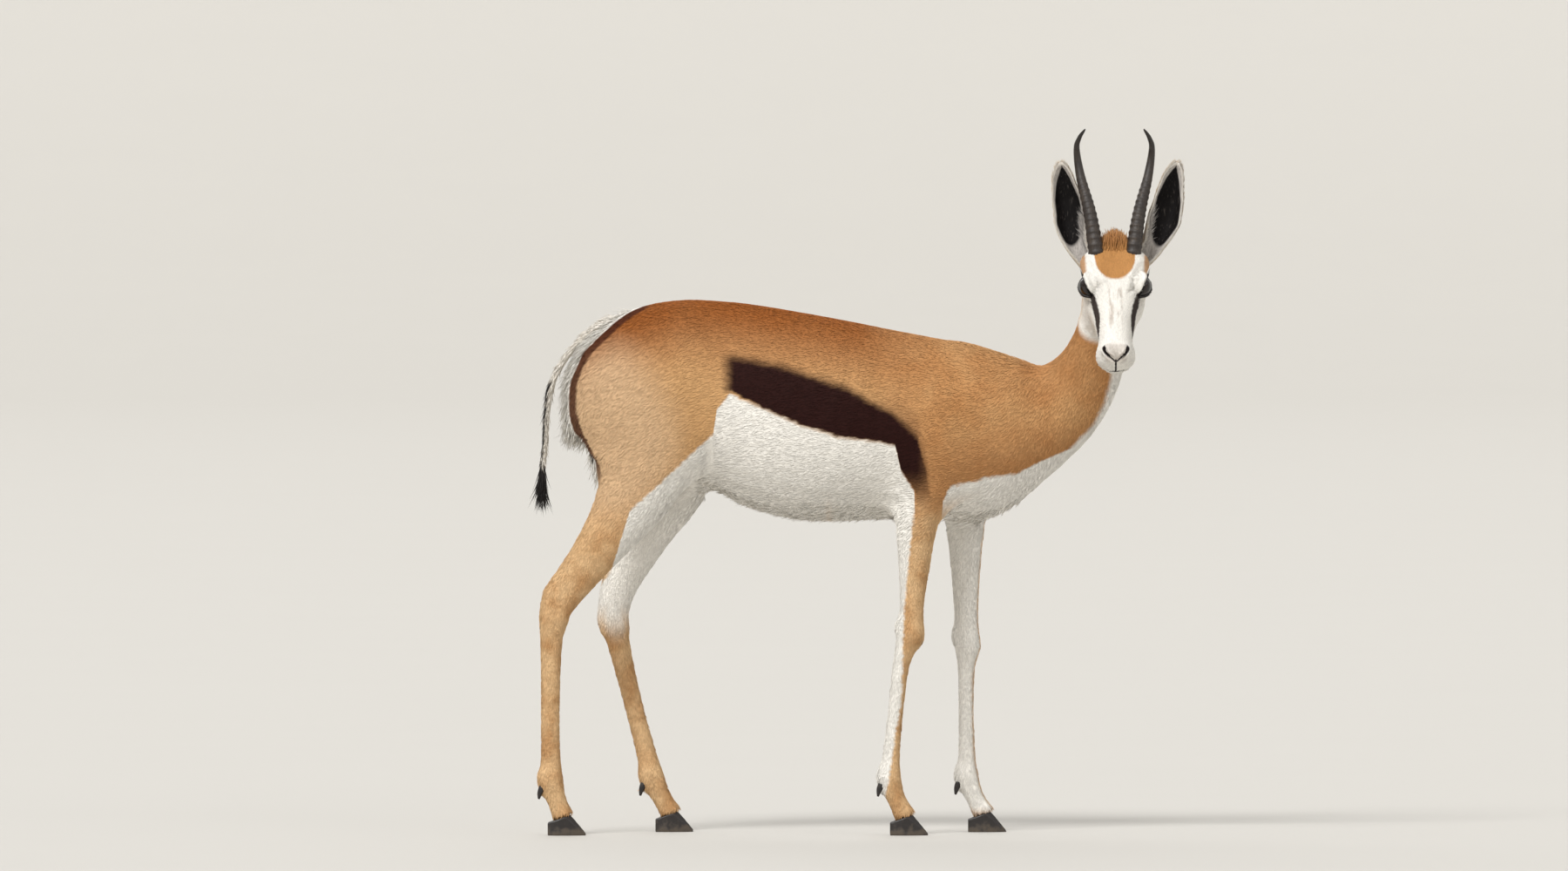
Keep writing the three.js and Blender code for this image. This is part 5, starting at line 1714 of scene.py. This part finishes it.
@dataclass
class Ears:
    """Long leaf-shaped ears, furled at the root, with hair on the rim and inside."""

    anatomy: Anatomy
    root: Triple = (0.020, 0.050, -0.016)
    wall: float = 0.0026
    turn: float = 0.22
    furl: float = 140.0
    open: float = 58.0
    lean: float = 0.45
    offsets: tuple[Triple, ...] = (
        (-0.014, 0.002, -0.014), (0.007, 0.008, 0.022), (0.019, 0.014, 0.062), (0.027, 0.018, 0.104),
        (0.034, 0.018, 0.152),
    )
    leaf: tuple[Point, ...] = (
        (0, 0.014), (0.25, 0.019), (0.5, 0.0265), (0.7, 0.025), (0.87, 0.017), (0.95, 0.010), (1.0, 0.0015),
    )
    rim_hair: LockShape = LockShape(0.0075, 0.0013, 0.0006, 0.3)
    inner_hair: LockShape = LockShape(0.021, 0.0011, 0.0005, 0.2)
    back_hair: LockShape = LockShape(0.0085, 0.0015, 0.0005, 0.2)
    seed: int = 71

    def build(self, finish: EarFinish) -> list[bpy.types.Object]:
        """Makes both ears and their hair."""
        pieces = []
        skin = finish.material("ear_skin")
        hair = finish.material("ear_hair", hair=True)
        for side, name in ((-1, "right"), (1, "left")):
            ear = place_piece(self._leaf(side, f"ear_leaf_{name}"), skin)
            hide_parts(f"ear_{name}")
            pieces.append(ear)
            for made in self._hair(side, name):
                pieces.append(place_piece(made, hair))
        return pieces

    def spot(self, side: int, t: float, s: float) -> tuple[Vector, Vector, Vector, Vector]:
        """Finds a place on the ear's back.

        Args:
            side: right (-1) or left (1).
            t: the share of the way up the ear.
            s: the share of the way round it, from -1 at one rim to 1 at the other.

        Returns:
            The place, the direction out of the ear's back, the way up and the way round.
        """
        a = self.anatomy
        forward, out, up = self.root
        base = a.head(forward, side * out, up) + a.shift
        more = 1 + self.lean if side > 0 else 1.0
        points = [base + Vector((side * x * more, y, z)) for x, y, z in self.offsets]
        middle = smooth_path(points, t)
        ahead, behind = smooth_path(points, min(t + 0.01, 1)), smooth_path(points, max(t - 0.01, 0))
        along = (ahead - behind).normalized()
        outward = Vector((side * self.turn, -1, 0)).normalized()
        opening = (outward - along * outward.dot(along)).normalized()
        beside = along.cross(opening)
        radius = float(np.interp(t, *zip(*self.leaf)))
        spread = math.radians(self.furl - self.open * min(t * 1.7, 1)) * s
        normal = beside * math.sin(spread) - opening * math.cos(spread)
        round_way = beside * math.cos(spread) + opening * math.sin(spread)
        flare = 0.0016 * math.sin(11 * t + 2.5 * s) * min(t * 3, 1)
        return middle + normal * (radius + flare * abs(s)), normal, along, round_way

    def paleness(self, side: int, t: float, s: float) -> float:
        """Returns 1 where the inside of the ear is pale and 0 in the black oval of its upper part."""
        inward = -side * s
        slant = inward + 0.16 + 0.42 * (0.62 - t)
        reach = math.hypot((t - 0.63) / 0.36, slant / 0.74)
        return max(0.0, min(1.0, (reach - 0.86) / 0.26))

    def _leaf(self, side: int, name: str) -> bpy.types.Object:
        """Makes the ear's shell."""
        bm = bmesh.new()
        bmesh.ops.create_grid(bm, x_segments=56, y_segments=30, size=1.0)
        edge = bm.verts.layers.float.new("edge")
        inner = bm.verts.layers.float.new("inner")
        low = bm.verts.layers.float.new("low")
        for vert in bm.verts:
            t, s = (vert.co.x + 1) / 2, vert.co.y
            place, normal, _, _ = self.spot(side, t, s)
            fold = 0.0010 * math.cos(s * 7.5) * math.sin(math.pi * min(t * 1.2, 1))
            vert.co = place - normal * fold
            vert[edge] = max(0.0, min(1.0, (abs(s) - 0.84) / 0.12), (t - 0.965) / 0.03)
            vert[low] = self.paleness(side, t, s)
        first = set(bm.verts)
        bmesh.ops.recalc_face_normals(bm, faces=bm.faces)
        centre, outward, _, _ = self.spot(side, 0.5, 0.0)
        middle_face = min(bm.faces, key=lambda face: (face.calc_center_median() - centre).length)
        if middle_face.normal.dot(outward) < 0:
            bmesh.ops.reverse_faces(bm, faces=bm.faces)
        faces = list(bm.faces)
        copied = bmesh.ops.duplicate(bm, geom=list(bm.verts) + list(bm.edges) + faces)
        inside = [item for item in copied["geom"] if isinstance(item, bmesh.types.BMVert)]
        inside_faces = [item for item in copied["geom"] if isinstance(item, bmesh.types.BMFace)]
        moves = {vert: vert.normal.copy() for vert in first}
        pairs = copied["vert_map"]
        for vert in inside:
            source = pairs[vert]
            thin = 1 - 0.65 * vert[edge]
            vert.co = source.co - moves[source] * self.wall * thin
            vert[inner] = 1.0
        bmesh.ops.reverse_faces(bm, faces=inside_faces)
        borders = [e for e in bm.edges if e.is_boundary]
        bmesh.ops.bridge_loops(bm, edges=borders)
        return object_from(bm, name)

    def _hair(self, side: int, name: str) -> list[bpy.types.Object]:
        """Makes the hair of rim, inside and back."""
        rng = np.random.default_rng(self.seed + side)
        made_pieces = []
        for kind, count, shape in (
            ("rim", 900, self.rim_hair), ("inner", 240, self.inner_hair), ("back", 3800, self.back_hair),
        ):
            roots, ways, droops, edges, inners, lows = [], [], [], [], [], []
            for _ in range(count):
                t = rng.uniform(0.04, 0.985)
                s = rng.uniform(-0.98, 0.98)
                if kind == "rim":
                    s = math.copysign(rng.uniform(0.93, 1.0), s)
                elif kind == "inner":
                    t = rng.uniform(0.06, 0.50)
                    s = -side * rng.choice((0.45, 0.72, 0.9)) + rng.normal(0, 0.06)
                place, normal, along, round_way = self.spot(side, t, max(-1, min(1, s)))
                if kind == "rim":
                    way = along * 0.90 + round_way * math.copysign(0.16, s) - normal * rng.uniform(0.0, 0.25)
                    place = place - normal * 0.0008
                elif kind == "inner":
                    way = along * 1.0 - normal * 0.22 + round_way * rng.normal(0, 0.15)
                    place = place - normal * self.wall
                else:
                    way = along * 1.0 + normal * 0.10 + round_way * rng.normal(0, 0.12)
                roots.append(tuple(place - self.anatomy.shift))
                ways.append(tuple(way))
                droops.append(tuple(-normal * 0.3 if kind != "back" else -normal * 0.2))
                edges.append(1.0 if kind == "rim" else 0.0)
                inners.append(1.0 if kind == "inner" else 0.0)
                lows.append(self.paleness(side, t, s) if kind == "inner" else 0.0)
            made = grow_locks(
                f"ear_{kind}_hair_{name}", np.array(roots), np.array(ways), np.array(droops), shape, 7,
                self.anatomy.shift,
            )
            for label, values in (("edge", edges), ("inner", inners), ("low", lows)):
                layer = made.data.attributes.new(label, "FLOAT", "POINT")
                layer.data.foreach_set("value", np.repeat(np.array(values, dtype=float), 10))
            made_pieces.append(made)
        return made_pieces


@dataclass
class Hooves:
    """Split hooves and dewclaws."""

    anatomy: Anatomy
    voxel: float = 0.0013
    rounds: int = 10
    fetlocks: tuple[tuple[str, Triple, float], ...] = (
        ("fore_right", (0.043, -0.070, 0.086), 0.019), ("fore_left", (0.166, 0.064, 0.084), 0.019),
        ("hind_right", (-0.488, -0.073, 0.082), 0.020), ("hind_left", (-0.330, 0.071, 0.082), 0.020),
    )

    def build(self, material: bpy.types.Material) -> list[bpy.types.Object]:
        """Makes every hoof and dewclaw."""
        pieces = []
        for leg, middle, deep in self.fetlocks:
            for half in ("outer", "inner"):
                node = f"claw_{leg}_{half}"
                hoof = remeshed((node,), f"hoof_{leg}_{half}", self.voxel)
                points = points_of(hoof.data)
                rounds = np.where(points[:, 2] < 0.0016, 0, self.rounds)
                move_points(hoof.data, relaxed(hoof.data, points, rounds, 0.5, -0.45))
                hoof.data.polygons.foreach_set("use_smooth", [True] * len(hoof.data.polygons))
                place_piece(hoof, material)
                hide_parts(node)
                pieces.append(hoof)
            pieces.append(place_piece(self._dewclaws(leg, middle, deep), material))
        return pieces

    def _dewclaws(self, leg: str, middle: Triple, deep: float) -> bpy.types.Object:
        """Makes the two dewclaws of a leg."""
        whole = bmesh.new()
        for side in (-1, 1):
            x, y, z = middle
            root = Vector((x - deep + 0.006, y + side * 0.009, z - 0.006)) + self.anatomy.shift
            bends = (Vector((-0.004, side * 0.001, -0.009)), Vector((-0.006, side * 0.002, -0.019)))
            points = [root, *(root + bend for bend in bends)]

            def path(share: float, points: list = points) -> Vector:
                """Returns the middle of one dewclaw."""
                return smooth_path(points, share)

            def radius(share: float) -> Point:
                """Returns the half widths of one dewclaw."""
                return 0.0055 * (1 - 0.72 * share ** 1.6), 0.0048 * (1 - 0.72 * share ** 1.6)

            claw = swept(path, radius, 10, 12)
            mesh = bpy.data.meshes.new("dewclaw")
            claw.to_mesh(mesh)
            claw.free()
            whole.from_mesh(mesh)
            bpy.data.meshes.remove(mesh)
        return object_from(whole, f"dewclaws_{leg}")


@dataclass
class Tail:
    """A thin tail: white above, with a crest of black hair that ends in a tuft."""

    anatomy: Anatomy
    stations: tuple[tuple[float, float, float, float, float], ...] = (
        (-0.372, 0.0, 0.806, 0.0075, 0.0095), (-0.398, -0.004, 0.805, 0.0070, 0.0090),
        (-0.432, -0.008, 0.786, 0.0050, 0.0075), (-0.462, -0.010, 0.754, 0.0042, 0.0062),
        (-0.484, -0.012, 0.716, 0.0036, 0.0050), (-0.494, -0.012, 0.672, 0.0028, 0.0036),
        (-0.498, -0.012, 0.622, 0.0024, 0.0028), (-0.502, -0.012, 0.582, 0.0018, 0.0020),
        (-0.503, -0.012, 0.560, 0.0012, 0.0012),
    )
    white: LockShape = LockShape(0.021, 0.0026, 0.0010, 0.25)
    crest: LockShape = LockShape(0.028, 0.0016, 0.0008, 0.25)
    tuft: LockShape = LockShape(0.052, 0.0019, 0.0009, 0.25)
    seed: int = 3

    def build(self, finish: TailFinish) -> list[bpy.types.Object]:
        """Makes the tail and its hair."""
        shift = self.anatomy.shift
        middles = [Vector(station[:3]) + shift for station in self.stations]
        shares = np.linspace(0, 1, len(self.stations))

        def path(share: float) -> Vector:
            """Returns the middle of the tail."""
            return smooth_path(middles, share)

        def radius(share: float) -> Point:
            """Returns the tail's half widths."""
            wide = float(np.interp(share, shares, [station[4] for station in self.stations]))
            deep = float(np.interp(share, shares, [station[3] for station in self.stations]))
            return wide, deep

        core = object_from(swept(path, radius, 60, 16, False, Vector((0, 1, 0))), "tail_core")
        place_piece(core, finish.material(TailColour.WHITE))
        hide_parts("tail")
        pieces = [core]
        white = core.data.materials[0]
        black = finish.material(TailColour.BLACK)
        rng = np.random.default_rng(self.seed)
        for name, count, low, high, shape, material in (
            ("tail_hair", 1500, 0.02, 0.86, self.white, white),
            ("tail_crest", 420, 0.48, 0.92, self.crest, black),
            ("tail_tuft", 360, 0.84, 1.0, self.tuft, black),
        ):
            roots, ways, droops = [], [], []
            for _ in range(count):
                share = rng.uniform(low, high)
                here, ahead = path(share), path(min(share + 0.01, 1.0))
                along = (ahead - path(max(share - 0.01, 0.0))).normalized()
                turn = rng.uniform(0, 2 * math.pi)
                if name == "tail_crest":
                    turn = rng.normal(math.pi, 0.5)
                first = (Vector((0, 1, 0)) - along * along.y).normalized()
                second = along.cross(first)
                wide, deep = radius(share)
                out = first * math.sin(turn) + second * math.cos(turn)
                start = first * math.sin(turn) * wide + second * math.cos(turn) * deep
                roots.append(tuple(here + start * 0.7 - shift))
                ways.append(tuple(along + out * rng.uniform(0.10, 0.24)))
                droops.append(tuple(along * 0.2 - out * 0.35))
            made = grow_locks(name, np.array(roots), np.array(ways), np.array(droops), shape, 13, shift)
            pieces.append(place_piece(made, material))
        return pieces


# Studio


@dataclass(frozen=True)
class Lamp:
    """A wide sun: its strength, its width in degrees and the way it shines."""

    name: str
    strength: float
    degrees: float
    way: Triple


@dataclass
class Studio:
    """A pale floor that sweeps up far away, soft light and a distant camera level with the animal."""

    anatomy: Anatomy
    column: float = 900.0
    row: float = 500.0
    columns: float = 1800.0
    elevation: float = math.radians(1)
    distance: float = 28.0
    sensor: float = 36.0
    sky: float = 0.62
    lamps: tuple[Lamp, ...] = (
        Lamp("key", 2.45, 22, (0.50, 0.85, -1.0)), Lamp("fill", 0.9, 60, (-0.8, 0.7, -0.2)),
        Lamp("back", 0.8, 50, (0.3, -1.0, -0.8)),
    )
    sweep: tuple[Point, ...] = ((0, 0), (44, 0), (50, 0.5), (55, 1.8), (59, 4), (62, 7), (64, 12), (65, 22))

    def build(self) -> None:
        """Makes the floor, lights and camera."""
        bm = bmesh.new()
        rim = [bm.verts.new((radius, 0, level)) for radius, level in self.sweep]
        edges = [bm.edges.new(pair) for pair in zip(rim, rim[1:])]
        bmesh.ops.spin(bm, geom=rim + edges, axis=(0, 0, 1), cent=(0, 0, 0), angle=2 * math.pi, steps=96)
        bmesh.ops.remove_doubles(bm, verts=bm.verts, dist=1e-4)
        floor = object_from(bm, "floor")
        if floor.data.polygons[0].normal.z < 0:
            floor.data.flip_normals()
        floor.data.materials.append(FloorFinish().material())
        self._camera()
        self._lights()

    def _camera(self) -> None:
        """Places the camera."""
        target = Vector((across(self.column), 0, height(self.row))) + self.anatomy.shift
        back = Vector((0, -math.cos(self.elevation), math.sin(self.elevation)))
        data = bpy.data.cameras.new("camera")
        data.sensor_width = self.sensor
        data.lens = self.sensor * self.distance / (self.columns * METRES_PER_PIXEL)
        data.clip_end = 200.0
        camera = bpy.data.objects.new("camera", data)
        camera.location = target + back * self.distance
        camera.rotation_euler = (math.pi / 2 - self.elevation, 0, 0)
        bpy.context.scene.collection.objects.link(camera)
        bpy.context.scene.camera = camera

    def _lights(self) -> None:
        """Lights the scene with a wide sun, a softer one from the far side and a pale sky."""
        for lamp in self.lamps:
            data = bpy.data.lights.new(lamp.name, "SUN")
            data.energy = lamp.strength
            data.angle = math.radians(lamp.degrees)
            light = bpy.data.objects.new(lamp.name, data)
            light.rotation_euler = Vector(lamp.way).to_track_quat("-Z", "Y").to_euler()
            bpy.context.scene.collection.objects.link(light)
        world = bpy.data.worlds.new("sky")
        world.use_nodes = True
        world.node_tree.nodes["Background"].inputs[0].default_value = (1.0, 0.99, 0.97, 1.0)
        world.node_tree.nodes["Background"].inputs[1].default_value = self.sky
        bpy.context.scene.world = world
        bpy.context.scene.view_settings.view_transform = "Standard"


def main() -> None:
    """Builds the model piece by piece."""
    logging.basicConfig(level=logging.INFO, format="%(message)s")
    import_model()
    anatomy = read_anatomy()
    Studio(anatomy).build()
    markings = Markings(anatomy)
    hair = CoatFinish(markings, by_tuft=True).material("coat_hair")
    skin = Skin(anatomy).build(CoatFinish(markings).material("skin"))
    log.info("skin: %d faces", len(skin.data.polygons))
    Coat(anatomy).build(skin, hair)
    LongHair(anatomy).build(skin, hair)
    lid = LidFinish().material()
    for pieces in (
        Eyes(anatomy).build(EyeFinish(anatomy), lid),
        Horns(anatomy).build(HornFinish().material()),
        Ears(anatomy).build(EarFinish()),
        Hooves(anatomy).build(HoofFinish().material()),
        Tail(anatomy).build(TailFinish()),
    ):
        for piece in pieces:
            log.info("%s: %d faces", piece.name, len(piece.data.polygons))


if __name__ == "__main__":
    main()
